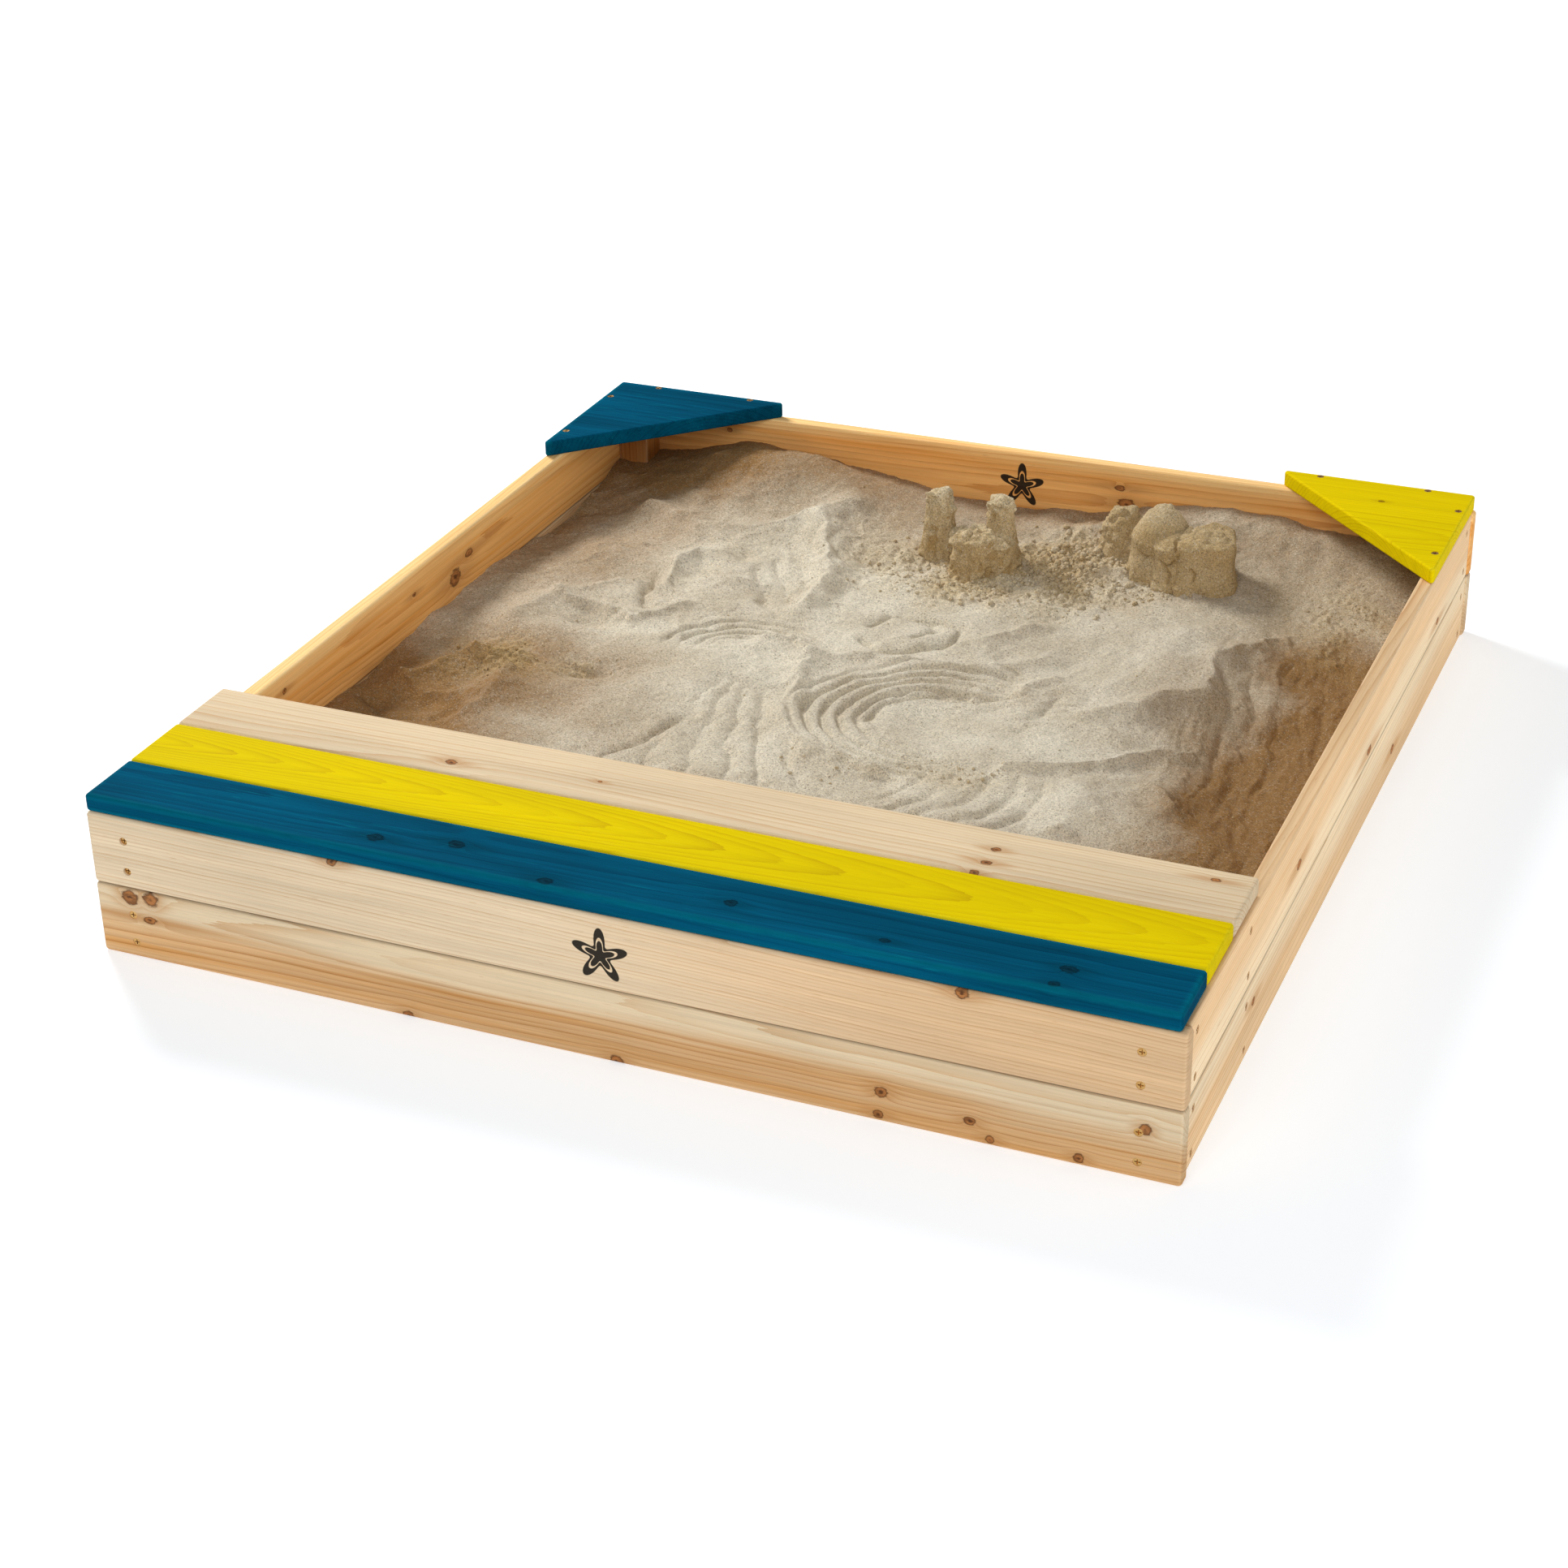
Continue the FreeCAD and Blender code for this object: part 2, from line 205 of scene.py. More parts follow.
# axes: along the grain, across the face, through the thickness. pith: the log's centre across and
# through, in mm from the board's centre. lean: its drift across and through per metre. ring: ring
# width in mm. heart: where the heartwood starts across, its side, its share. warm: heartwood that
# grows along the board, from and to in metres, its share. cast: the board's own tint, and on the back
# posts painted shade. knots: along, across, radius, length to width, darkness
boards = {
    "front_board_upper": {
        "axes": "xzy", "pith": (-150, 70), "lean": (22, 0), "ring": 3.6,
        "heart": (60, 1, 0.0), "warm": (-0.1, 0.5, 0.46),
        "cast": (1.0, 1.01, 1.05), "seed": 1, "tone": 1.0,
        "knots": [(373, 38, 6, 1.6, 1.0), (-297, 41, 5, 1.8, 0.8)]},
    "front_board_lower": {
        "axes": "xzy", "pith": (30, 34), "lean": (-26, 14), "ring": 3.9,
        "heart": (6, -1, 0.95), "seed": 2, "tone": 0.98,
        "knots": [(-548, 32, 12, 1.1, 0.55), (-522, 33, 11, 1.1, 0.6),
                  (-526, 8, 5, 3.6, 0.8), (-223, -40, 6, 1.3, 1.0),
                  (12, -39, 7, 1.2, 1.0), (293, -7, 6.5, 1.2, 1.0),
                  (290, -33, 5, 1.4, 0.9), (383, -18, 5, 1.4, 1.0),
                  (403, -34, 4.5, 1.3, 1.0), (491, -33, 5, 1.2, 1.0),
                  (553, 15, 8, 1.0, 0.6)]},
    "right_board_upper": {
        "axes": "yzx", "pith": (-95, 60), "lean": (16, 0), "ring": 4.2,
        "heart": (-8, 1, 0.55), "seed": 3, "tone": 1.04,
        "knots": [(-224, -5, 6, 2.6, 0.8), (94, -29, 6, 2.8, 0.8),
                  (452, -28, 5, 2.8, 0.7)]},
    "right_board_lower": {
        "axes": "yzx", "pith": (60, 45), "lean": (-20, 0), "ring": 4.5,
        "heart": (10, -1, 0.5), "seed": 4, "tone": 1.0,
        "knots": [(-390, 12, 5, 2.0, 0.8), (230, -10, 6, 2.2, 0.8)]},
    "left_board_upper": {
        "axes": "yzx", "pith": (20, -42), "lean": (30, 0), "ring": 4.6,
        "heart": (34, -1, 0.95), "cast": (1.14, 0.98, 0.66), "seed": 5,
        "tone": 1.05,
        "knots": [(112, -8, 12, 1.6, 0.85), (150, 10, 6, 3.4, 0.7),
                  (-290, 20, 4, 2.0, 0.6), (10, 12, 4, 2.6, 0.4)]},
    "left_board_lower": {
        "axes": "yzx", "pith": (-70, 40), "lean": (-18, 0), "ring": 4.2,
        "heart": (60, -1, 0.9), "seed": 6, "tone": 1.0,
        "knots": [(-160, 14, 7, 1.8, 0.9), (330, -16, 5, 2.0, 0.9)]},
    "back_board_upper": {
        "axes": "xzy", "pith": (-10, -46), "lean": (-24, 0), "ring": 4.4,
        "heart": (30, -1, 0.95), "cast": (1.16, 0.98, 0.66), "seed": 7,
        "tone": 1.14,
        "knots": [(143, -9, 9, 2.0, 0.8), (134, 12, 5, 2.8, 0.6),
                  (-420, 18, 4, 1.8, 0.6)]},
    "back_board_lower": {
        "axes": "xzy", "pith": (80, 50), "lean": (20, 0), "ring": 4.0,
        "heart": (8, -1, 0.5), "seed": 8, "tone": 1.0,
        "knots": [(-300, -12, 6, 1.4, 0.9), (210, 22, 5, 1.6, 0.9)]},
    "partition_board_upper": {
        "axes": "xzy", "pith": (-120, 40), "lean": (12, 0), "ring": 4.2,
        "heart": (4, -1, 0.6), "seed": 9, "tone": 0.97,
        "knots": [(-210, 5, 6, 1.5, 0.9), (330, 18, 5, 1.5, 0.9)]},
    "partition_board_lower": {
        "axes": "xzy", "pith": (90, 44), "lean": (-16, 0), "ring": 4.0,
        "heart": (10, 1, 0.6), "seed": 10, "tone": 0.96,
        "knots": [(60, -10, 6, 1.5, 0.9)]},
    "lid_slat_front": {
        "axes": "xyz", "pith": (28, -52), "lean": (-18, 10), "ring": 4.2,
        "heart": (20, -1, 0.15), "seed": 11, "tone": 1.0,
        "finish": "blue_stained_wood",
        "knots": [(-257, -14, 8, 1.7, 0.8), (-174, 2, 9, 1.8, 0.7),
                  (-58, -31, 7, 1.7, 0.8), (128, -5, 7, 1.5, 0.8),
                  (467, -4, 8, 1.4, 0.85), (462, -33, 6, 1.5, 0.7),
                  (290, -17, 6, 2.0, 0.4)]},
    "lid_slat_middle": {
        "axes": "xyz", "pith": (2, -38), "lean": (3, 62), "ring": 3.4,
        "heart": (0, 1, 0.3), "seed": 12, "tone": 1.01,
        "finish": "yellow_stained_wood", "knots": []},
    "lid_slat_rear": {
        "axes": "xyz", "pith": (-46, -42), "lean": (16, -8), "ring": 4.0,
        "heart": (60, 1, 0.0), "seed": 13, "tone": 0.94,
        "knots": [(-263, -22, 5.5, 1.8, 0.9), (331, 5, 4.5, 1.6, 0.9),
                  (330, -23, 4.5, 1.8, 1.0), (325, -44, 4, 1.6, 0.9),
                  (548, 24, 4.5, 2.4, 0.6), (-98, -6, 3.5, 1.8, 0.4)]},
    "corner_seat_left": {
        "axes": "xyz", "pith": (40, -60), "lean": (26, 20), "ring": 4.4,
        "heart": (10, 1, 0.4), "seed": 14, "tone": 0.80,
        "finish": "blue_stained_wood", "knots": [(20, -44, 9, 1.6, 0.5)]},
    "corner_seat_right": {
        "axes": "xyz", "pith": (-30, -60), "lean": (-30, 24), "ring": 4.2,
        "heart": (0, 1, 0.3), "seed": 15, "tone": 1.05,
        "finish": "yellow_stained_wood", "knots": [(16, 60, 4, 1.6, 0.6)]},
}
plainBoard = {"pith": (-46, 30), "lean": (10, 0), "ring": 3.8, "heart": (4, 1, 0.45),
              "seed": 20, "tone": 0.97, "knots": []}
for place, name in enumerate(("corner_post_front_left", "corner_post_front_right",
                              "partition_post_left", "partition_post_right",
                              "corner_post_back_left", "corner_post_back_right")):
    boards[name] = {**plainBoard, "axes": "zxy", "seed": 20 + place,
                    "knots": [(-52 + 9 * place, 6, 5, 1.3, 0.9)]}
for place, name in enumerate(("lid_batten_left", "lid_batten_centre", "lid_batten_right")):
    boards[name] = {**plainBoard, "axes": "yxz", "seed": 30 + place,
                    "knots": [(-20 + 30 * place, 5, 4, 1.5, 0.9)]}
# painted shade: the back posts lie in the corner seats' shadow, so all heartwood and tinted darker
for name in ("corner_post_back_left", "corner_post_back_right"):
    boards[name].update(heart=(40, -1, 1.0), cast=(0.80, 0.62, 0.42))
# waist: the radius between two arms over the size. bare: the inner ring's start and end over the
# outline's radius, each from and to
mark = {"boards": ("front_board_upper", "back_board_upper"), "centre": (0.0, -0.003),
        "size": 0.031, "arms": 5.0, "waist": 0.38, "point": 1.35, "bare": (0.52, 0.56, 0.63, 0.67),
        "ink": (0.012, 0.011, 0.010)}
# lengths in metres: wander and sway are how far the log's centre line moves across and through the
# board, push how far a knot moves the rings. hair roughens the rings; lateSharp narrows their dark
# part. The heartwood's border follows edgeWander and edgeStreak and is edgeSoft wide on each side
grain = {"wander": 0.014, "sway": 0.026, "push": 0.011, "pushReach": 1.2, "hair": 0.42,
         "lateSharp": 2.6, "edgeWander": 0.045, "edgeStreak": 0.030, "edgeSoft": 0.016,
         "pores": 0.30, "ragged": 1.2, "halo": 0.85, "ridgeNoise": 0.004, "seam": 0.64}


def starMask(along, across):
    # a starfish: inside where the distance from its centre is under a radius that swells at each
    # arm, less a small ring of the same outline left bare within it
    dx, dz = along - mark["centre"][0], across - mark["centre"][1]
    arms = calc("COSINE", (calc("ARCTAN2", dz, dx) - pi / 2) * mark["arms"])
    swell = calc("POWER", arms * 0.5 + 0.5, mark["point"])
    radius = swell * ((1 - mark["waist"]) * mark["size"]) + mark["waist"] * mark["size"]
    share = calc("SQRT", dx * dx + dz * dz) / radius
    bare = step(share, *mark["bare"][:2]) * step(share, *mark["bare"][2:], 1.0, 0.0)
    return step(share, 0.985, 1.03, 1.0, 0.0) * (1.0 - bare)


def knotDistances(local, knots):
    # how far the nearest knot's centre line is, in knot radii, for its core and for its halo, whose
    # figure is drawn out further along the grain
    nearest, nearHalo = None, None
    for along, across, radius, stretch, dark in knots:
        away = vectorCalc("SUBTRACT", local, (along * mm, across * mm, 0.0))
        size = radius * mm * (0.45 + 0.55 * dark)
        core = (1 / (size * (0.6 + 0.4 * stretch)), 1 / size, 0.0)
        halo = (0.8 / (size * stretch ** 1.6), 1.15 / size, 0.0)
        toCore, toHalo = (vectorCalc("LENGTH", vectorCalc("MULTIPLY", away, scale)) for scale in (core, halo))
        nearest = toCore if nearest is None else calc("SMOOTH_MIN", nearest, toCore, 0.35)
        nearHalo = toHalo if nearHalo is None else calc("MINIMUM", nearHalo, toHalo)
    return nearest, nearHalo


def woodMaterial(name, board):
    finish = finishes[board.get("finish", "natural_wood")]
    material, look = newMaterial("wood_" + name)
    low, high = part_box(name)
    centre, half = (low + high) / 2, (high - low) / 2
    order = ["xyz".index(letter) for letter in board["axes"]]
    halfAlong, halfAcross, halfDeep = (half[i] for i in order)
    parts = split("XYZ", vectorCalc("SUBTRACT", objectPlace(), tuple(centre)))
    along, across, deep = (parts[i] for i in order)
    local = addNode("CombineXYZ", {0: along, 1: across, 2: deep}).outputs[0]
    seed = board["seed"]
    shift = (seed * 3.7, seed * 1.9 + 0.4, seed * 5.3)
    otherShift = shift[::-1]
    nearest, nearHalo = knotDistances(local, board["knots"])

    # rings: distance from the log's centre line, which leans and wanders, pushed out round knots
    pithAcross, pithDeep = (v * mm for v in board["pith"])
    leanAcross, leanDeep = (v * mm for v in board["lean"])
    wander = grainNoise(local, (2.4, 9, 9), shift, 2.0) - 0.5
    sway = grainNoise(local, (1.3, 4, 4), otherShift, 1.0) - 0.5
    a = across - pithAcross + along * leanAcross + wander * grain["wander"]
    d = deep - pithDeep + along * leanDeep + sway * grain["sway"]
    reach = calc("SQRT", a * a + d * d)
    if nearest is not None:
        reach = reach + grain["push"] / (nearest * nearest + grain["pushReach"])
    hair = grainNoise(local, (5, 240, 240), shift, 3.0, 0.6)
    rings = reach * (1 / (board["ring"] * mm)) + hair * grain["hair"]
    eachRing = addNode("TexWhiteNoise", {"W": calc("FLOOR", rings)}, noise_dimensions="1D").outputs["Value"]
    late = calc("POWER", calc("FRACT", rings), grain["lateSharp"]) * (Value(eachRing) * 0.75 + 0.25)

    # heartwood beyond a wavering line, in streaks
    edge, side, share = board["heart"]
    streaks = grainNoise(local, (1.1, 70, 50), shift, 3.0, 0.7)
    past = across - edge * mm + wander * grain["edgeWander"] + (streaks - 0.5) * grain["edgeStreak"]
    heart = step(past * float(side), -grain["edgeSoft"], grain["edgeSoft"], 0.0, share)
    heart = heart * step(streaks, 0.30, 0.62, 1.0, 0.62)
    if "warm" in board:
        start, end, most = board["warm"]
        heart = calc("MAXIMUM", heart, step(sway * 0.4 + along, start, end, 0.0, most))
    cast = board.get("cast", (1.0, 1.0, 1.0))
    shades = {key: tuple(float(v * c) for v, c in zip(finish[key], cast))
              for key in ("sap", "sapLate", "heart", "heartLate")}
    light = mixColour(heart, shades["sap"], shades["heart"])
    darker = mixColour(heart, shades["sapLate"], shades["heartLate"])
    colour = mixColour(late * finish["lines"], light, darker)

    # fibres, bands and slow blotches lighten and darken it; pores are short dark flecks
    fibres = grainNoise(local, (9, 620, 620), otherShift, 3.0, 0.65)
    bands = grainNoise(local, (1.6, 95, 60), shift, 2.0, 0.6)
    blotch = grainNoise(local, (2.6, 13, 10), otherShift, 3.0, 0.55)
    shade = (fibres - 0.5) * (2 * finish["fibre"]) + board["tone"]
    shade = shade + (bands - 0.5) * (1.5 * finish["blotch"]) + (blotch - 0.5) * (2.2 * finish["blotch"])
    colour = tint(colour, shade)
    pores = step(grainNoise(local, (60, 900, 900), shift, 1.0), 0.66, 0.76, 0.0, grain["pores"])
    colour = mixColour(pores, colour, finish["halo"])

    if nearest is not None:
        # a knot: dark centre, redder wood round it, a dark rim, then a halo
        ragged = grainNoise(local, (90, 210, 90), shift, 3.0, 0.6)
        rough = (ragged - 0.5) * grain["ragged"] + nearest
        redder = step(rough, 0.05, 0.42) * step(rough, 0.66, 0.92, 1.0, 0.0)
        redder = redder * step(ragged, 0.34, 0.60, 0.35, 1.0)
        knotColour = mixColour(redder, finish["knot"], finish["knotHeart"])
        halo = step((streaks - 0.5) * 2.2 + nearHalo, 0.5, 2.7, grain["halo"], 0.0)
        colour = mixColour(halo, colour, mixColour(0.65, colour, finish["halo"]))
        colour = mixColour(step(rough, 0.80, 1.16, 0.92, 0.0), colour, knotColour)

    # rubbed edges, where two of the distances to the board's sides are small together
    gaps = [h - calc("ABSOLUTE", v) for h, v in ((halfAlong, along), (halfAcross, across), (halfDeep, deep))]
    ridge = calc("MINIMUM", gaps[1] + gaps[2], gaps[0] + gaps[2])
    ridge = ridge + grainNoise(local, (40, 160, 160), shift, 3.0) * grain["ridgeNoise"]
    patchy = step(streaks, 0.32, 0.60) * 0.7 + 0.3
    rubbed = step(ridge, 0.0028, finish["rub"], 1.0, 0.0) * finish["wear"]
    colour = mixColour(rubbed * patchy, colour, finish["worn"])
    # scratches: short pale dashes along the grain, only where the slow blotches are high
    dashes = step(grainNoise(local, (22, 520, 520), shift, 1.0), 0.665, 0.73)
    dashes = dashes * step(blotch, 0.42, 0.60, 0.0, finish["scratch"])
    colour = mixColour(dashes, colour, finish["worn"])

    # shade in the seam between the upper and the lower board of a wall
    if "board_" in name:
        seam = -1.0 if name.endswith("upper") else 1.0
        colour = tint(colour, step(across * -seam + halfAcross, 0.0003, 0.0028, grain["seam"], 1.0))
    # end grain takes the colour deeper
    colour = tint(colour, step(gaps[0], 0.0006, 0.0022, finish["end"], 1.0))

    if name in mark["boards"]:
        outer = step(deep, 0.0006 - halfDeep, 0.0012 - halfDeep, 1.0, 0.0)
        ink = starMask(along, across) * outer * step(fibres, 0.22, 0.34, 0.55, 0.97)
        colour = mixColour(ink, colour, mark["ink"])

    plug(colour, look["Base Color"])
    plug((blotch - 0.5) * 0.3 + finish["roughness"] - late * 0.08, look["Roughness"])
    look["Specular IOR Level"].default_value = finish["gloss"]
    roughen(look, fibres * 0.6 + late * 0.5, 0.0005, 0.45)
    return material


def dress(name, material):
    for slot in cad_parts[name].material_slots:
        slot.material = material


for name, board in boards.items():
    dress(name, woodMaterial(name, board))
print("sandbox: wood done,", len(boards), "boards and posts")


# metal

metals = {
    "screws": {"base": (0.52, 0.275, 0.075), "other": (0.66, 0.42, 0.16), "dirt": (0.09, 0.035, 0.012),
               "roughness": (0.24, 0.46), "scale": 420.0},
    "hinges": {"base": (0.52, 0.54, 0.57), "other": (0.68, 0.70, 0.72), "dirt": (0.20, 0.20, 0.20),
               "roughness": (0.28, 0.50), "scale": 160.0},
}


def metalMaterial(name, metal):
    # plating: crystal patches of two tints, with small dull specks
    material, look = newMaterial(name)
    place = objectPlace()
    patches = addNode("TexVoronoi", {"Vector": place, "Scale": metal["scale"]})
    patch = split("Color", patches.outputs["Color"])[0]
    specks = grainNoise(place, (900, 900, 900), (1, 2, 3), 2.0)
    colour = mixColour(patch, metal["base"], metal["other"])
    colour = mixColour(step(specks, 0.58, 0.72, 0.0, 0.6), colour, metal["dirt"])
    plug(colour, look["Base Color"])
    plug(step(patch, 0.0, 1.0, *metal["roughness"]), look["Roughness"])
    look["Metallic"].default_value = 0.9
    roughen(look, specks, 0.0001, 0.3)
    return material


screwMetal = metalMaterial("yellow_plating", metals["screws"])
hingeMetal = metalMaterial("zinc_plating", metals["hinges"])
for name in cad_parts:
    if name.endswith("_screws"):
        dress(name, screwMetal)
    elif name.startswith("hinge_"):
        dress(name, hingeMetal)


# sand

def valueNoise(x, y, cell, seed):
    # random heights on a square lattice of that cell, in mm, joined smoothly between its points
    grid = np.random.default_rng(seed).random((256, 256)) * 2 - 1
    u, v = x / cell, y / cell
    i, j = np.floor(u).astype(int), np.floor(v).astype(int)
    fu, fv = u - i, v - j
    fu, fv = fu * fu * (3 - 2 * fu), fv * fv * (3 - 2 * fv)

    def corner(p, q):
        return grid[(i + p) % len(grid), (j + q) % len(grid)]

    return (corner(0, 0) * (1 - fu) * (1 - fv) + corner(1, 0) * fu * (1 - fv)
            + corner(0, 1) * (1 - fu) * fv + corner(1, 1) * fu * fv)


def layeredNoise(x, y, cell, seed, layers=4, fade=0.5):
    # layers of that noise, each with half the cell and a fading height
    return sum(fade ** k * valueNoise(x, y, cell / 2 ** k, seed + 17 * k) for k in range(layers))


def smooth(value, low, high):
    t = np.clip((value - low) / (high - low), 0, 1)
    return t * t * (3 - 2 * t)


def bump2(x, y, cx, cy, rx, ry):
    # a round hill one high, with those radii
    return np.exp(-(((x - cx) / rx) ** 2 + ((y - cy) / ry) ** 2))


# all in mm: gap is left between the sand and the back posts, and between its top and the overall box;
# foot is where the castle and the mound start, inside the bed
sand = {"level": 92.0, "step": 1.5, "tilesAcross": 3, "tilesDeep": 2,
        "bottom": 1.0, "gap": 0.4, "highest": 150.0, "foot": 60}
# heights in mm: slow swells, smaller rises, the fall beyond the right-hand crest and the runnels down
# it, clods in broken ground and how far they sink, ripples, single grains
relief = {"swell": 6.0, "rise": 3.0, "fall": 28, "runnels": 2.2, "clods": 9.0, "sink": 1.5,
          "ripples": 0.55, "grains": 0.32}
# the crest of the right-hand dune: y, then x at each y
duneCrest = ([-380, -152, -120, -64, 0, 69, 128, 216, 328, 420, 620],
             [470, 440, 405, 372, 352, 338, 352, 384, 356, 420, 560])
# hills and hollows: x, y, radii, height
hills = [(-330, 580, 150, 95, 50), (-120, 600, 90, 60, 6), (300, 615, 170, 66, 36),
         (490, 600, 90, 70, 8), (-560, 420, 70, 130, -22),
         (-420, 330, 120, 90, -4), (-540, 40, 60, 60, 4), (-480, -150, 90, 50, -20), (-318, -12, 30, 24, -17),
         (-490, -10, 60, 50, -9), (-400, 60, 50, 26, 6), (-395, -120, 42, 60, 12), (-250, -60, 44, 80, 7),
         (-378, 110, 34, 20, -11), (-165, 110, 80, 62, 6), (-140, -70, 90, 110, 6), (128, 0, 60, 46, -5),
         (250, 60, 110, 90, 7), (330, 190, 60, 110, 10), (235, -60, 90, 40, 4), (320, -135, 40, 50, 12),
         (320, -206, 16, 12, 7), (215, -235, 60, 40, 8), (-60, 460, 150, 110, 5), (420, 470, 70, 120, -2),
         (30, 280, 120, 60, 3), (-110, 350, 40, 80, -8), (-300, 262, 24, 20, 8), (-400, 250, 50, 34, -9),
         (-300, 290, 110, 90, 6), (540, 560, 80, 90, 14), (-312, 276, 24, 30, -9),
         (-276, 340, 22, 16, -8), (10, 205, 34, 34, 4), (84, -152, 8, 7, 5), (507, -107, 60, 70, -10),
         (78, 598, 12, 9, -6), (113, 612, 13, 9, -6), (162, 456, 15, 12, 9), (190, 463, 14, 11, 9),
         (282, 428, 12, 9, 8), (-60, 340, 60, 30, 7), (90, 330, 80, 26, 5), (-200, 520, 60, 60, 8)]
# raked arcs: centre, squeeze of y, inner and outer radius, spacing, depth, start and end angle
arcs = [(122, 0, 0.80, 84, 186, 20.5, 6.4, 62, 290), (60, -122, 1.0, 84, 222, 34, 6.2, -68, 12),
        (-165, 92, 0.9, 46, 112, 18, 4.6, 28, 196), (-110, 410, 0.8, 40, 120, 28, 4.0, 150, 280),
        (240, 0, 0.7, 40, 120, 26, 2.2, 20, 150), (-330, 60, 0.8, 60, 130, 24, 2.4, 200, 330)]
# crests, or furrows where the height is negative: points, width, height; all heights times ridgeGain
ridgeGain = 1.3
ridges = [([(-91, 88), (-74, 30), (-66, -33), (-28, -97), (21, -131), (84, -140)], 15, 9.5),
          ([(184, 193), (136, 147), (58, 128), (-10, 127), (-91, 96)], 12, 6),
          ([(77, 188), (123, 240), (140, 268)], 13, 6), ([(178, 80), (185, 115), (206, 140)], 9, 5),
          ([(216, 51), (221, 96)], 10, -5), ([(34, -18), (41, 33), (86, 69), (178, 80)], 6, -5.5),
          ([(-205, 450), (-182, 385), (-150, 300), (-152, 240)], 22, 16),
          ([(-450, 436), (-375, 417), (-318, 395), (-243, 423), (-190, 500)], 20, 11),
          ([(233, -81), (291, -64), (324, -37), (356, 6), (399, 27)], 9, 7.5),
          ([(371, 275), (384, 212), (372, 153), (317, 89), (271, 56)], 16, 9),
          ([(383, 268), (403, 334), (427, 354)], 12, 7), ([(381, -79), (415, -104)], 12, 7),
          ([(390, 246), (413, 126), (424, 16), (428, -90)], 8, -2.4),
          ([(421, 235), (446, 86), (462, -70)], 8, -2.4), ([(446, 301), (468, 144), (490, -10)], 8, -2.4),
          ([(-47, 176), (-20, 151), (26, 163), (56, 203), (49, 236), (8, 251), (-38, 246), (-52, 214)],
           6, -6),
          ([(8, 245), (27, 222), (8, 200)], 6, -5),
          ([(-333, 237), (-349, 293), (-332, 328), (-298, 324)], 10, 8),
          ([(-364, 259), (-352, 208), (-341, 174)], 9, -9), ([(-253, 312), (-204, 231)], 11, -5),
          ([(-235, 336), (-180, 245)], 11, -5), ([(-208, 357), (-168, 277)], 11, -5),
          ([(-440, 160), (-423, 149), (-394, 148), (-350, 134), (-338, 118)], 12, 9),
          ([(-324, 127), (-303, 162), (-283, 180)], 8, 6), ([(-154, 123), (-117, 142), (-93, 116)], 9, 6),
          ([(-468, 79), (-443, 141), (-398, 224)], 20, 8), ([(-525, -117), (-484, -91), (-461, -33)], 18, 11),
          ([(-461, -33), (-410, -33)], 12, 8), ([(-402, -64), (-384, -120), (-392, -180)], 13, 8),
          ([(-540, -170), (-500, -196), (-452, -190), (-420, -160)], 12, -7),
          ([(-534, -110), (-497, -126), (-443, -125)], 12, 6),
          ([(-150, 10), (-136, -110), (-112, -215)], 9, -5), ([(-132, 8), (-103, -120), (-62, -215)], 9, -5),
          ([(-112, 10), (-66, -110), (-14, -220)], 9, -5), ([(-88, 14), (-42, -75), (26, -190)], 9, -4),
          ([(-164, 0), (-172, -110), (-160, -210)], 9, -4),
          ([(-214, -222), (-192, -169), (-163, -94)], 7, -5),
          ([(79, 560), (159, 575), (215, 590)], 16, 6)]


def crestShape(x, y, points, width):
    # distance to a broken line turned into a soft ridge one high
    nearest = np.full(x.shape, 1e9)
    for (ax, ay), (bx, by) in zip(points[:-1], points[1:]):
        length = (bx - ax) ** 2 + (by - ay) ** 2
        t = np.clip(((x - ax) * (bx - ax) + (y - ay) * (by - ay)) / length, 0, 1)
        nearest = np.minimum(nearest, np.hypot(x - ax - t * (bx - ax), y - ay - t * (by - ay)))
    return np.exp(-np.abs(nearest / width) ** 1.4)


def arcShape(x, y, arc):
    # grooves along ellipses about one centre: a cosine of the radius, kept between two angles
    cx, cy, squeeze, inner, outer, spacing, depth, start, end = arc
    wobble = 5 * layeredNoise(x, y, 70, 61)
    radius = np.hypot(x - cx, (y - cy) / squeeze) + wobble
    angle = np.degrees(np.arctan2((y - cy) / squeeze, x - cx)) + 4 * valueNoise(x, y, 40, 62)
    turned = (angle - start) % 360
    width = end - start
    keep = smooth(turned, 0, 26) * smooth(width - turned, 0, 26) * (turned < width)
    keep = keep * smooth(radius, inner - 8, inner + 8) * smooth(outer + 8 - radius, 0, 16)
    groove = 0.5 + 0.5 * np.cos(2 * pi * (radius - inner) / spacing)
    return -depth * keep * groove ** 2.1 * (0.85 + 0.45 * layeredNoise(x, y, 50, 63, 2))


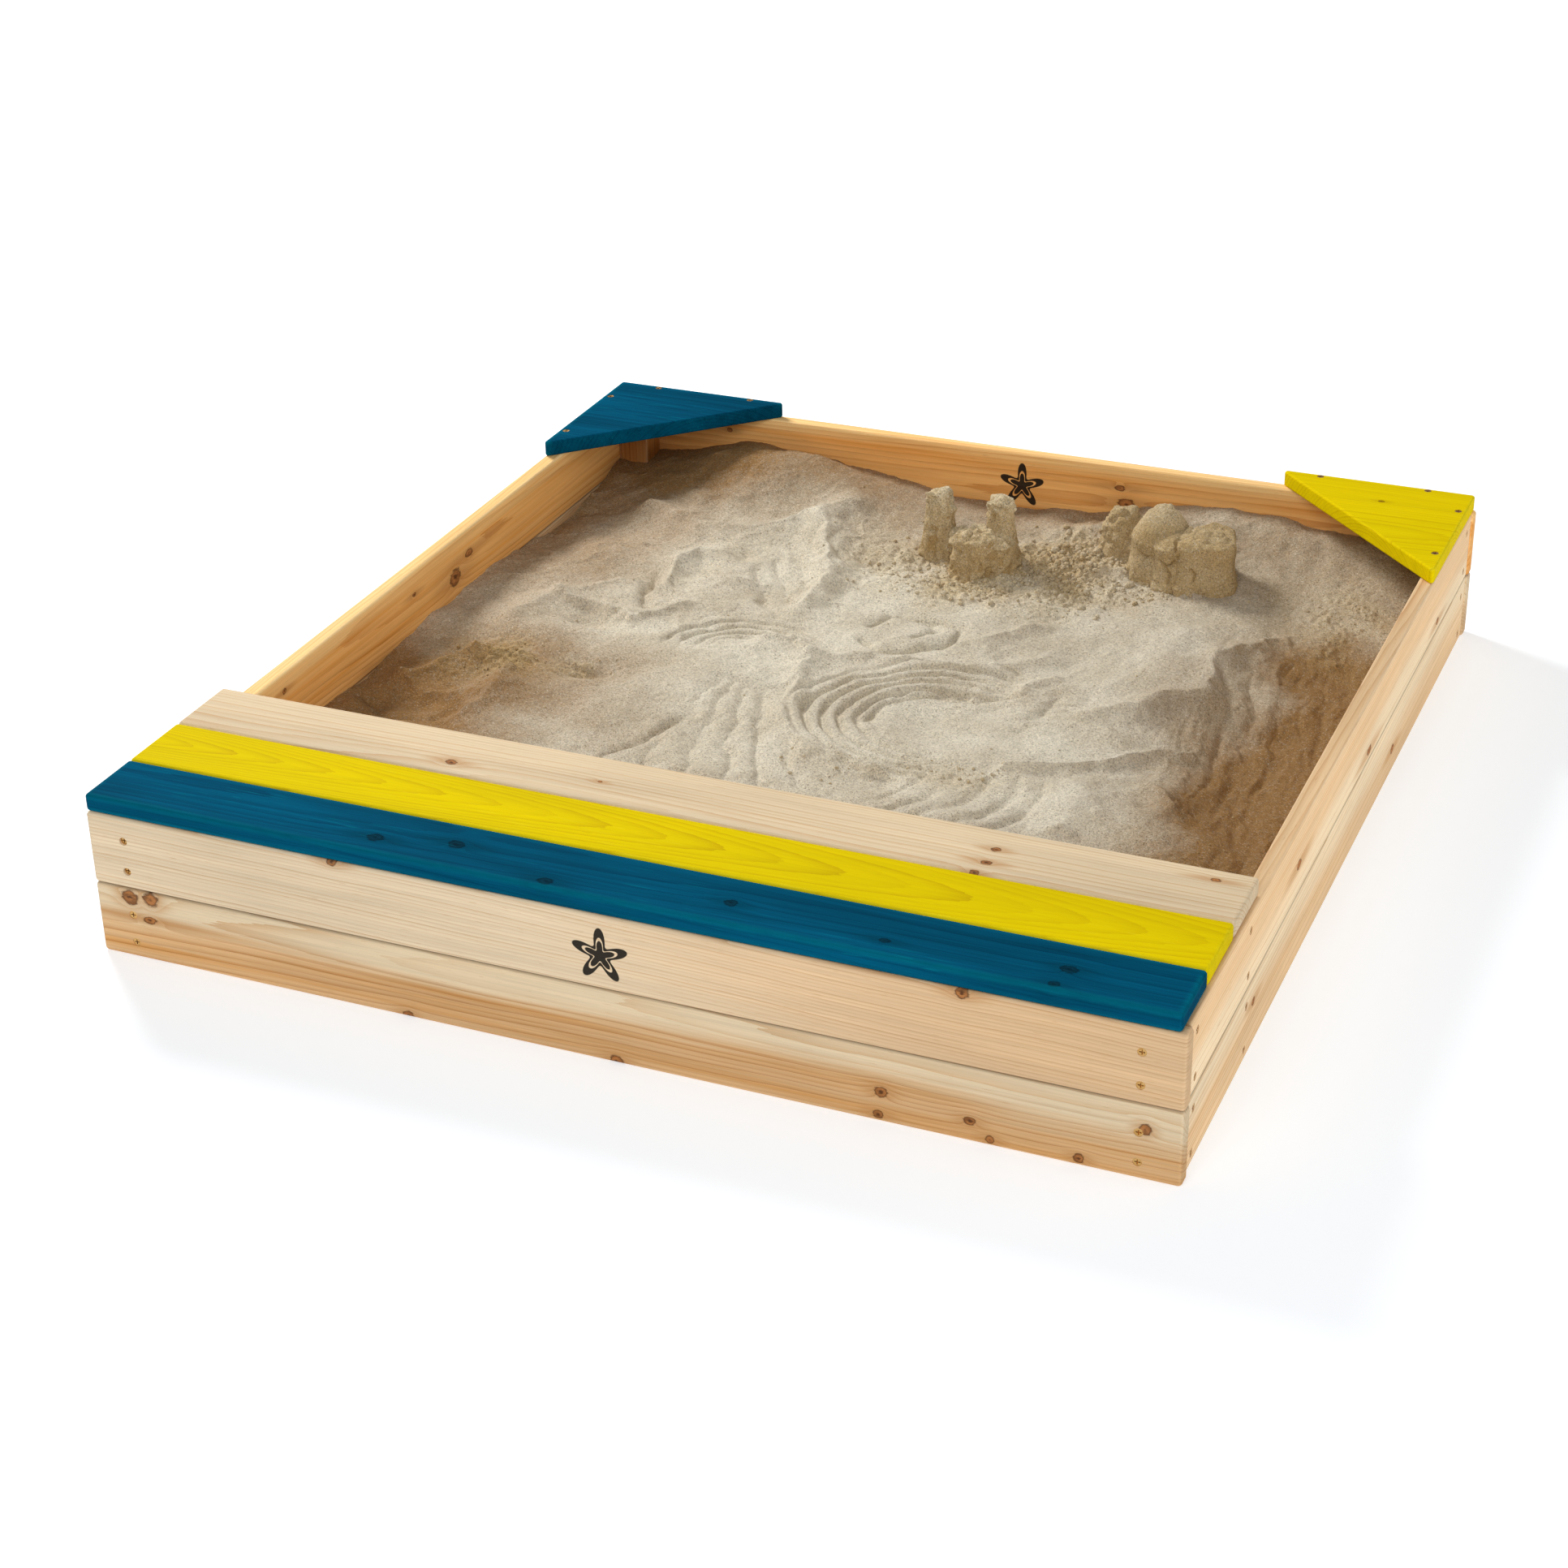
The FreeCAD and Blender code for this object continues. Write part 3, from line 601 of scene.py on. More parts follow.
def sandHeight(x, y):
    # in mm: a level, slow swells, hills, ridges and raked grooves, then clods and single grains
    wx = x + 7 * layeredNoise(x, y, 80, 21) + 4 * layeredNoise(x, y, 26, 22, 2)
    wy = y + 7 * layeredNoise(x, y, 80, 31) + 4 * layeredNoise(x, y, 26, 32, 2)
    h = sand["level"] + relief["swell"] * layeredNoise(x, y, 190, 11, 3)
    h += relief["rise"] * layeredNoise(x, y, 52, 12, 3)
    for cx, cy, rx, ry, height in hills:
        h += height * bump2(wx, wy, cx, cy, rx, ry)
    for points, width, height in ridges:
        h += ridgeGain * height * crestShape(wx, wy, points, width)
    for arc in arcs:
        h += arcShape(x, y, arc)
    # hand-worked ground: sharp crests where a slow noise crosses zero, on the left and behind
    worked = smooth(-x, -60, 120) * smooth(y, -10, 120) * smooth(560 - y, 0, 80)
    crests = 1 - np.minimum(np.abs(layeredNoise(wx * 0.8 + 0.5 * wy, wy - 0.3 * wx, 62, 43, 2)) * 2.6, 1)
    h += (0.5 + 1.3 * worked) * crests ** 2
    # the right-hand dune: the ground falls beyond its crest, with runnels down the slope
    beyond = wx - np.interp(wy, *duneCrest)
    h -= relief["fall"] * smooth(beyond, -30, 170) * smooth(500 - wy, 0, 260)
    runnels = layeredNoise(wx + 0.12 * y, 0.16 * y, 15, 51, 3)
    h += relief["runnels"] * runnels * smooth(beyond, -6, 30) * smooth(430 - wy, 0, 100)
    # clods where the ground is broken
    crumbly = crumbZone(x, y)
    lumps = 0.6 * np.abs(layeredNoise(x, y, 21, 71, 3, 0.6)) + 0.55 * np.abs(layeredNoise(x, y, 10, 73, 2))
    h += crumbly * (relief["clods"] * lumps - relief["sink"])
    h += relief["ripples"] * layeredNoise(x, y, 9, 81, 2) + relief["grains"] * valueNoise(x, y, 3.1, 91)
    return np.minimum(h, sand["highest"])


# broken ground: how broken, x, y, radii
brokenGround = [(1.1, 40, 410, 150, 76), (1.0, 130, 490, 62, 76), (0.5, 30, 330, 110, 40),
                (0.9, -440, -30, 60, 50), (0.5, 480, 430, 70, 110), (0.35, 500, -250, 90, 80),
                (0.5, -330, -20, 34, 28), (0.35, 190, -120, 60, 26)]


def crumbZone(x, y):
    # broken ground round the castle and the mound, and in the diggings on the left
    near = sum(most * bump2(x, y, *patch) for most, *patch in brokenGround)
    return np.clip(near * (0.80 + 0.7 * layeredNoise(x, y, 48, 75, 3)), 0, 1)


def dampness(x, y, h):
    # damp and warm at the walls, down the front right slope, round the castle and in hollows; partly real
    # damp and partly painted shade: the shadows of the walls and the corner seat along the sides and the
    # back, the front right slope turned from the light, the hollows and a darker spot on the left. Slow
    # noise moves the place where it is read, so the borders wander
    u = x + 50 * layeredNoise(x, y, 150, 56, 3)
    v = y + 62 * layeredNoise(x, y, 150, 57, 3)
    side = smooth(u, 250, 570) * smooth(660 - v, 0, 420) + 0.62 * smooth(-u, 260, 620)
    front = 0.80 * smooth(-v, 40, 420) * smooth(u, 90, 520)
    front += 0.78 * smooth(-v, -120, 240) * smooth(-u, 160, 470)
    # painted shadow of the back wall and the corner seat
    back = 0.70 * smooth(v, 430, 640) + 0.40 * bump2(u, v, -420, 540, 190, 150)
    spots = 0.36 * bump2(u, v, 70, 415, 150, 62) + 0.30 * bump2(u, v, 235, 480, 120, 60)
    spots += 0.26 * bump2(u, v, -360, 240, 130, 130) + 0.22 * bump2(u, v, -330, -20, 120, 110)
    spots += 0.30 * bump2(u, v, 520, -40, 90, 200)
    # painted shade in the hollows, with any damp gathered there
    hollow = 0.34 * smooth(88 - h, 0, 32)
    total = side + front + back + spots + hollow + 0.17 * layeredNoise(x, y, 110, 55, 3)
    return np.clip(total, 0, 1)


def pieceFrom(name, mesh, material):
    # a piece of smooth shading and one material, put in the scene
    mesh.materials.clear()
    mesh.materials.append(material)
    mesh.polygons.foreach_set("use_smooth", np.ones(len(mesh.polygons), bool))
    mesh.update()
    piece = bpy.data.objects.new(name, mesh)
    scene.collection.objects.link(piece)
    return piece


def meshPiece(name, points, faces, material):
    mesh = bpy.data.meshes.new(name)
    faces = faces if isinstance(faces, list) else faces.tolist()
    mesh.from_pydata(points.reshape(-1, 3).tolist(), [], faces)
    return pieceFrom(name, mesh, material)


def gridFaces(rows, columns):
    # the squares of a grid of points numbered row by row
    start = (np.arange(rows - 1)[:, None] * columns + np.arange(columns - 1)[None, :]).ravel()
    return np.stack([start, start + 1, start + columns + 1, start + columns], 1)


def borderOf(rows, columns):
    # the numbers of the points along the grid's border, once round
    numbers = np.arange(rows * columns).reshape(rows, columns)
    return np.concatenate([numbers[0, :-1], numbers[:-1, -1], numbers[-1, :0:-1], numbers[:0:-1, 0]])


def addAttribute(piece, name, values):
    held = piece.data.attributes.new(name, "FLOAT", "POINT")
    held.data.foreach_set("value", values.astype(np.float32).ravel())


def sandMaterial(name, shades):
    # pale and dark grains over two tints; the packed attribute and the one for damp and painted shade mix in
    # the other colours
    material, look = newMaterial(name)
    place = objectPlace()
    damp, packed = (addNode("Attribute", {}, attribute_name=held).outputs["Fac"]
                    for held in ("damp", "packed"))
    slow = grainNoise(place, (14, 14, 14), (3, 1, 4), 3.0)
    mid = grainNoise(place, (120, 120, 120), (1, 5, 9), 3.0, 0.6)
    fine = grainNoise(place, (430, 430, 430), (2, 6, 5), 3.0, 0.75)
    grains = addNode("TexVoronoi", {"Vector": place, "Scale": 780.0}).outputs
    grain = split("Color", grains["Color"])
    # damp and painted shade, broken up by noise
    wetAndShaded = calc("ADD", damp, (mid - 0.5) * 0.5, clamp=True)
    drift = step(slow, 0.35, 0.65)
    dry = mixColour(packed, mixColour(drift, shades["dry"], shades["dryOther"]),
                    mixColour(drift, shades["packed"], shades["packedOther"]))
    moistAndShaded = mixColour(packed, shades["damp"], shades["packedDampAndShade"])
    shade = (fine - 0.5) * 1.15 + (mid - 0.5) * 0.28 + (grain[0] - 0.5) * 0.34 + 1.0
    colour = tint(mixColour(wetAndShaded, dry, moistAndShaded), shade)
    colour = mixColour(step(grain[1], 0.90, 0.94, 0.0, 0.50), colour, shades["darkGrain"])
    pale = step(grain[2], 0.91, 0.95) * (wetAndShaded * -0.42 + 0.60)
    colour = mixColour(pale, colour, shades["paleGrain"])
    plug(colour, look["Base Color"])
    look["Roughness"].default_value = 0.95
    look["Specular IOR Level"].default_value = 0.15
    roughen(look, Value(grains["Distance"]) * 0.7 + fine * 0.9, 0.0016, 0.75)
    return material


# the darkest tints stand for damp sand and for painted shade, loose and packed
sandShades = {"dry": (0.735, 0.668, 0.530), "dryOther": (0.645, 0.570, 0.435),
              "damp": (0.29, 0.160, 0.058),
              "packed": (0.66, 0.540, 0.345), "packedOther": (0.57, 0.440, 0.255),
              "packedDampAndShade": (0.43, 0.290, 0.125), "darkGrain": (0.16, 0.095, 0.045),
              "paleGrain": (0.80, 0.74, 0.62)}
sandLook = sandMaterial("sand", sandShades)


def sandTile(name, x0, x1, y0, y1):
    # a block whose top follows the relief: a grid of points, with the border brought down to the sheet
    columns = int(round((x1 - x0) / sand["step"])) + 1
    rows = int(round((y1 - y0) / sand["step"])) + 1
    dx, dy = (x1 - x0) / (columns - 1), (y1 - y0) / (rows - 1)
    # one more line of points all round, so that neighbours agree on the slope at their border
    x, y = np.meshgrid(x0 + dx * np.arange(-1, columns + 1), y0 + dy * np.arange(-1, rows + 1))
    h = sandHeight(x, y)
    slopeY, slopeX = np.gradient(h, dy, dx)
    normals = np.stack([-slopeX, -slopeY, np.ones_like(h)], -1)[1:-1, 1:-1].reshape(-1, 3)
    normals /= np.linalg.norm(normals, axis=1, keepdims=True)
    x, y, h = x[1:-1, 1:-1], y[1:-1, 1:-1], h[1:-1, 1:-1]
    top = np.stack([x, y, h], -1).reshape(-1, 3)
    loop = borderOf(rows, columns)
    low = top[loop].copy()
    low[:, 2] = sand["bottom"]
    middle = np.array([[(x0 + x1) / 2, (y0 + y1) / 2, sand["bottom"]]])
    points = np.concatenate([top, low, middle]) * mm
    under = np.arange(len(loop)) + rows * columns
    sides = np.stack([loop, under, np.roll(under, -1), np.roll(loop, -1)], 1)
    base = np.stack([under, np.full(len(loop), len(points) - 1), np.roll(under, -1)], 1)
    faces = gridFaces(rows, columns).tolist() + sides.tolist() + base.tolist()
    piece = meshPiece(name, points, faces, sandLook)
    downward = np.tile([0.0, 0.0, -1.0], (len(loop) + 1, 1))
    normals = np.concatenate([normals, downward])
    piece.data.normals_split_custom_set_from_vertices(normals.tolist())
    # how damp the sand is, with painted shade added where the ground lies in shadow
    damp = dampness(x, y, h).ravel()
    addAttribute(piece, "damp", np.concatenate([damp, damp[loop], [1.0]]))
    packed = crumbZone(x, y).ravel()
    addAttribute(piece, "packed", np.concatenate([packed, packed[loop], [0.0]]))
    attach(piece, "box")
    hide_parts("sand_bed")


bedLow, bedHigh = (v * 1000 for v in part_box("sand_bed"))
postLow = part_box("corner_post_back_right")[0] * 1000
backLine = postLow.y - sand["gap"]
xEdges = np.linspace(bedLow.x, bedHigh.x, sand["tilesAcross"] + 1)
yEdges = np.linspace(bedLow.y, backLine, sand["tilesDeep"] + 1)
for row in range(sand["tilesDeep"]):
    for column in range(sand["tilesAcross"]):
        sandTile(f"sand_{row + 1}_{column + 1}", *xEdges[column:column + 2], *yEdges[row:row + 2])
inner = postLow.x - sand["gap"]
sandTile("sand_back", -inner, inner, backLine, bedHigh.y)
print("sandbox: sand bed done")


def noise3(points, cell, seed):
    # the flat noise read on three planes and added, for shapes that stand up
    x, y, z = points.T
    return (valueNoise(x + 500, y + 500, cell, seed) + valueNoise(y + 500, z + 500, cell, seed + 1)
            + valueNoise(z + 500, x + 500, cell, seed + 2)) / 1.8


def lump(cx, cy, foot, top, high, square, dome, wide, far, turn):
    # a closed tower: rings from foot to top radius, then over a domed top to one point; its plan is
    # a rounded figure that grows squarer as square rises above 2
    around, up, over = 96, 60, 24
    low = sand["foot"]
    angle = np.linspace(0, 2 * pi, around, endpoint=False)
    cosA, sinA = np.cos(angle), np.sin(angle)
    plan = (np.abs(cosA) ** square + np.abs(sinA) ** square) ** (-1 / square)
    rise = np.linspace(0, 1, up)
    inwards = np.linspace(1, 0, over + 1)[1:-1]
    radius = np.concatenate([foot + (top - foot) * smooth(rise, 0, 0.9), top * inwards])
    height = np.concatenate([low + (high - low) * (1 - dome) * rise,
                             high - (high - low) * dome * inwards ** 2])
    px, py = radius[:, None] * plan * cosA * wide, radius[:, None] * plan * sinA * far
    c, s = np.cos(turn), np.sin(turn)
    rings = np.stack([cx + c * px - s * py, cy + s * px + c * py,
                      np.repeat(height[:, None], around, 1)], -1).reshape(-1, 3)
    points = np.concatenate([rings, [[cx, cy, high]], [[cx, cy, low]]])
    rows = len(radius)
    numbers = np.arange(rows * around).reshape(rows, around)
    right = np.roll(numbers, -1, 1)
    sides = np.stack([numbers[:-1], right[:-1], right[1:], numbers[1:]], -1).reshape(-1, 4).tolist()
    cap = np.stack([numbers[-1], right[-1], np.full(around, rows * around)], 1).tolist()
    base = np.stack([right[0], numbers[0], np.full(around, rows * around + 1)], 1).tolist()
    return points, sides + cap + base


def castPiece(name, lumps, voxel, shape, node):
    # lumps melted into one skin on a fine lattice, then shaped by the given function of its points
    points, faces, count = [], [], 0
    for item in lumps:
        p, f = lump(*item)
        points.append(p)
        faces += [[v + count for v in face] for face in f]
        count += len(p)
    rough = meshPiece(name + "_rough", np.concatenate(points) * mm, faces, sandLook)
    melt = rough.modifiers.new("melt", "REMESH")
    melt.mode = "VOXEL"
    melt.voxel_size = voxel * mm
    melted = bpy.data.meshes.new_from_object(rough.evaluated_get(bpy.context.evaluated_depsgraph_get()))
    bpy.data.objects.remove(rough)
    count = len(melted.vertices)
    co, no = np.zeros(count * 3, np.float32), np.zeros(count * 3, np.float32)
    melted.vertices.foreach_get("co", co)
    melted.vertices.foreach_get("normal", no)
    co, no = co.reshape(-1, 3).astype(float) * 1000, no.reshape(-1, 3).astype(float)
    co, damp = shape(co, no)
    melted.vertices.foreach_set("co", (co * mm).astype(np.float32).ravel())
    piece = pieceFrom(name, melted, sandLook)
    addAttribute(piece, "damp", damp)
    addAttribute(piece, "packed", np.ones(count))
    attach(piece, "box")
    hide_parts(node)


ceiling = cadBounds[1].z * 1000 - sand["gap"]
# lumps: x, y, foot and top radius, height, squareness, share of the dome, stretch in x and y, turn
castleLumps = [
    (-45, 437, 26, 16, 186, 2.2, 0.05, 1.1, 1.0, 0.0),
    (37, 438, 31, 17, 185, 2.4, 0.06, 1.0, 1.0, 0.0),
    (14, 400, 34, 26, 150, 2.3, 0.08, 1.05, 1.0, 0.0),
    (38, 412, 32, 24, 142, 3.0, 0.1, 1.0, 1.0, 0.0),
    (-22, 430, 34, 18, 136, 2.0, 0.3, 1.0, 1.0, 0.0),
    (6, 424, 82, 52, 103, 2.0, 0.25, 1.0, 0.74, 0.0),
]
moundLumps = [
    (172, 520, 40, 29, 158, 2.0, 0.30, 1.0, 1.0, 0.0),
    (204, 504, 38, 24, 142, 2.0, 0.30, 1.0, 1.0, 0.0),
    (232, 484, 46, 38, 181, 2.2, 0.30, 1.0, 1.0, 0.0),
    (262, 472, 45, 37, 160, 2.8, 0.16, 1.0, 1.0, 0.3),
    (292, 468, 42, 36, 160, 4.0, 0.07, 1.0, 1.0, 0.35),
    (238, 492, 98, 70, 104, 2.0, 0.3, 1.0, 0.62, 0.0),
]
# cracks in the mound's front: x and z of their points
cracks = [[(244, 129), (252, 124), (259, 115), (257, 104)], [(252, 124), (264, 132)],
          [(214, 131), (222, 126), (229, 129)], [(262, 152), (269, 144), (267, 139)],
          [(286, 128), (293, 120), (291, 112)]]


def crumbleCastle(co, no):
    # crumbs on the tops and in a band round each tower, streaks down the smooth walls
    x, y, z = co.T
    big = noise3(co, 15, 207)
    tops = smooth(no[:, 2], 0.35, 0.8) * smooth(z, 118, 132)
    frayed = np.clip(tops + smooth(z, 158, 174) + 0.75 * smooth(z, 134, 143) * smooth(407 - y, 0, 8)
                     + 0.7 * smooth(110 - z, 0, 12) + 0.55 * smooth(big, 0.15, 0.5), 0, 1)
    clods = np.abs(noise3(co, 11, 215)) + 0.55 * np.abs(noise3(co, 6, 217))
    grainy = 0.5 * noise3(co, 2.6, 201) + 0.5 * noise3(co, 4.5, 204)
    streak = valueNoise(x + 40 * np.arctan2(y - 430, x), z * 0.12, 7, 211)
    pits = smooth(noise3(co, 7, 241), 0.22, 0.55)
    out = frayed * (6.0 * clods + 1.8 * grainy - 2.6) + 2.0 * big + 0.9 * streak + 0.6 * grainy - 2.2 * pits
    moved = co + no * out[:, None]
    moved[:, 2] = np.minimum(moved[:, 2], ceiling - 0.5 * np.abs(noise3(co, 4, 220)))
    # damp with painted shade: darker low down, and in the pits as painted shade; lighter on the tops and
    # raised clods
    damp = 0.45 + 0.30 * smooth(150 - z, 0, 55) - 0.2 * tops + 0.3 * big
    return moved, np.clip(damp - 0.5 * frayed * clods + 0.4 * pits, 0, 1)


def crackMound(co, no):
    # slow dents, cracks along the lines above, and a jagged top on the right-hand block
    x, y, z = co.T
    big = noise3(co, 24, 301)
    jitter = 1.6 * noise3(co, 7, 341)
    crack = sum(crestShape(x + jitter, z - jitter, points, 1.5) for points in cracks)
    crack = np.clip(crack, 0, 1) * smooth(-no[:, 1], 0.0, 0.3)
    block = smooth(x, 250, 266) * smooth(z, 138, 150) * smooth(no[:, 2], 0.25, 0.7)
    rough = np.clip(smooth(z, 166, 178) * 0.4 + smooth(110 - z, 0, 10) + block
                    + 0.8 * smooth(200 - x, 0, 16) + 0.4 * smooth(big, 0.25, 0.6), 0, 1)
    clods = np.abs(noise3(co, 11, 331)) + 0.5 * np.abs(noise3(co, 6, 333))
    grainy = 0.5 * noise3(co, 2.6, 321) + 0.5 * noise3(co, 4.5, 324)
    out = 2.6 * big - 5.0 * crack + rough * (5.4 * clods - 2.2) + 0.7 * grainy
    # damp, with painted shade in the cracks; lighter near the top
    damp = np.clip(0.55 + 0.25 * big + 0.45 * crack - 0.2 * smooth(z, 160, 176), 0, 1)
    moved = co + no * out[:, None]
    moved[:, 2] = np.minimum(moved[:, 2], ceiling)
    return moved, damp


castPiece("sand_castle_towers", castleLumps, 1.3, crumbleCastle, "sand_castle")
castPiece("sand_mound_lumps", moundLumps, 1.4, crackMound, "sand_mound")
print("sandbox: castle and mound done")

# loose crumbs, one mesh: x, y centre and spread of each patch, how many, least and greatest size
crumbPatches = [(60, 405, 120, 62, 700, 2.4, 9.0), (140, 480, 46, 56, 380, 3.0, 13.0),
                (30, 345, 110, 24, 120, 2.0, 7.0), (235, 425, 70, 14, 60, 2.6, 9.0),
                (-440, -40, 50, 42, 120, 1.8, 6.5), (-330, -5, 34, 26, 36, 1.6, 4.0),
                (190, -110, 50, 22, 60, 1.6, 6.5), (40, -150, 60, 18, 20, 1.8, 7.0),
                (0, 180, 380, 240, 200, 1.2, 3.4), (480, 430, 45, 90, 90, 1.6, 5.0),
                (470, -240, 60, 60, 60, 1.4, 3.6), (-400, 200, 110, 120, 40, 1.4, 4.0)]


def crumbs():
    # twenty-faced clods squashed and turned at random, half sunk in the relief
    rng = np.random.default_rng(7)
    g = (1 + 5 ** 0.5) / 2
    ball = np.array([(-1, g, 0), (1, g, 0), (-1, -g, 0), (1, -g, 0), (0, -1, g), (0, 1, g),
                     (0, -1, -g), (0, 1, -g), (g, 0, -1), (g, 0, 1), (-g, 0, -1), (-g, 0, 1)]) / 1.9
    ballFaces = np.array([(0, 11, 5), (0, 5, 1), (0, 1, 7), (0, 7, 10), (0, 10, 11), (1, 5, 9),
                          (5, 11, 4), (11, 10, 2), (10, 7, 6), (7, 1, 8), (3, 9, 4), (3, 4, 2),
                          (3, 2, 6), (3, 6, 8), (3, 8, 9), (4, 9, 5), (2, 4, 11), (6, 2, 10),
                          (8, 6, 7), (9, 8, 1)])
    x, y, size = [], [], []
    for cx, cy, rx, ry, count, least, most in crumbPatches:
        x.append(cx + rx * rng.normal(0, 0.75, count))
        y.append(cy + ry * rng.normal(0, 0.75, count))
        size.append(least + (most - least) * rng.random(count) ** 3)
    x, y, size = np.concatenate(x), np.concatenate(y), np.concatenate(size)
    keep = (np.abs(x) < inner - 8) & (y > bedLow.y + 8) & (y < backLine - 8)
    x, y, size = x[keep], y[keep], size[keep]
    h = sandHeight(x, y)
    shape = ball[None] * rng.uniform(0.80, 1.15, (len(x), 12, 1)) * rng.uniform(0.75, 1.15, (len(x), 1, 3))
    turn = rng.uniform(0, 2 * pi, len(x))
    c, s = np.cos(turn)[:, None], np.sin(turn)[:, None]
    turned = np.stack([shape[..., 0] * c - shape[..., 1] * s, shape[..., 0] * s + shape[..., 1] * c,
                       shape[..., 2] * 0.8], -1)
    points = turned * size[:, None, None] / 2 + np.stack([x, y, h + 0.07 * size], -1)[:, None]
    faces = (ballFaces[None] + 12 * np.arange(len(x))[:, None, None]).reshape(-1, 3)
    piece = meshPiece("sand_crumbs", points * mm, faces, sandLook)
    # each crumb takes the ground's damp and painted shade, give or take a little
    damp = np.repeat(np.clip(dampness(x, y, h) + rng.uniform(-0.15, 0.12, len(x)), 0, 1), 12)
    addAttribute(piece, "damp", damp)
    addAttribute(piece, "packed", np.repeat(rng.uniform(0.5, 0.9, len(x)), 12))
    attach(piece, "box")
    return len(x)


print("sandbox:", crumbs(), "crumbs done")


# ground sheet

sheet = {"thick": 0.7, "wrinkle": 1.7, "step": 4.0, "tape": 2.6, "under": (0.016, 0.017, 0.018),
         "over": (0.034, 0.036, 0.037), "dust": (0.36, 0.29, 0.20)}


def sheetMaterial():
    # woven tapes: a sine wave along x times one along y says which tape lies on top
    material, look = newMaterial("woven_ground_sheet")
    place = objectPlace()
    turns = pi / (sheet["tape"] * mm)
    warp, weft = (calc("SINE", part * turns) for part in split("XYZ", place)[:2])
    over = step(warp * weft, -0.15, 0.15)
    ribs = calc("ABSOLUTE", warp) * calc("ABSOLUTE", weft)
    dust = grainNoise(place, (30, 30, 30), (4, 2, 7), 4.0, 0.6)
    fine = grainNoise(place, (700, 700, 700), (1, 1, 1), 2.0)
    colour = mixColour(over, sheet["under"], sheet["over"])
    colour = mixColour(step(dust, 0.45, 0.75, 0.03, 0.35), colour, sheet["dust"])
    plug(tint(colour, fine * 0.5 + 0.75), look["Base Color"])
    plug(step(ribs, 0.0, 1.0, 0.72, 0.48), look["Roughness"])
    roughen(look, over * 0.5 + ribs, 0.0006, 0.6)
    return material


def groundSheet():
    # a flat sheet with low wrinkles in the toy box, kept off the walls and the posts' feet
    low, high = (v * 1000 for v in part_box("ground_sheet"))
    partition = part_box("partition_board_lower")[0].y * 1000
    columns = int((high.x - low.x) / sheet["step"]) + 1
    rows = int((high.y - low.y) / sheet["step"]) + 1
    x, y = np.meshgrid(np.linspace(low.x, high.x, columns), np.linspace(low.y, high.y, rows))
    free = smooth(partition - y, 6, 40) * smooth(y - low.y, 0, 16) * smooth(high.x - 48 - np.abs(x), 0, 40)
    folds = np.abs(layeredNoise(x * 0.35 + 0.6 * y, y, 60, 401, 2)) ** 1.5
    z = np.clip(free * folds * 2.4, 0, 1) * sheet["wrinkle"]
    top = np.stack([x, y, z + sheet["thick"]], -1).reshape(-1, 3)
    under = top - [0, 0, sheet["thick"]]
    loop = borderOf(rows, columns)
    count = rows * columns
    sides = np.stack([loop, loop + count, np.roll(loop, -1) + count, np.roll(loop, -1)], 1)
    faces = gridFaces(rows, columns)
    both = np.concatenate([faces, faces[:, ::-1] + count, sides])
    piece = meshPiece("woven_sheet_laid", np.concatenate([top, under]) * mm, both, sheetMaterial())
    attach(piece, "box")
    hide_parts("ground_sheet")


groundSheet()
print("sandbox: ground sheet done")


# floor, light and camera

# glow grows from near to far, in metres; world, key, fill and sideFill are the powers of the lights
stage = {"floor": (0.67, 0.706, 0.750), "glow": 0.485, "farGlow": 1.0, "near": 1.6, "far": 6.0,
         "inset": 0.010, "size": 80.0, "world": 0.27, "key": 144.0, "fill": 56.0, "sideFill": 34.0}


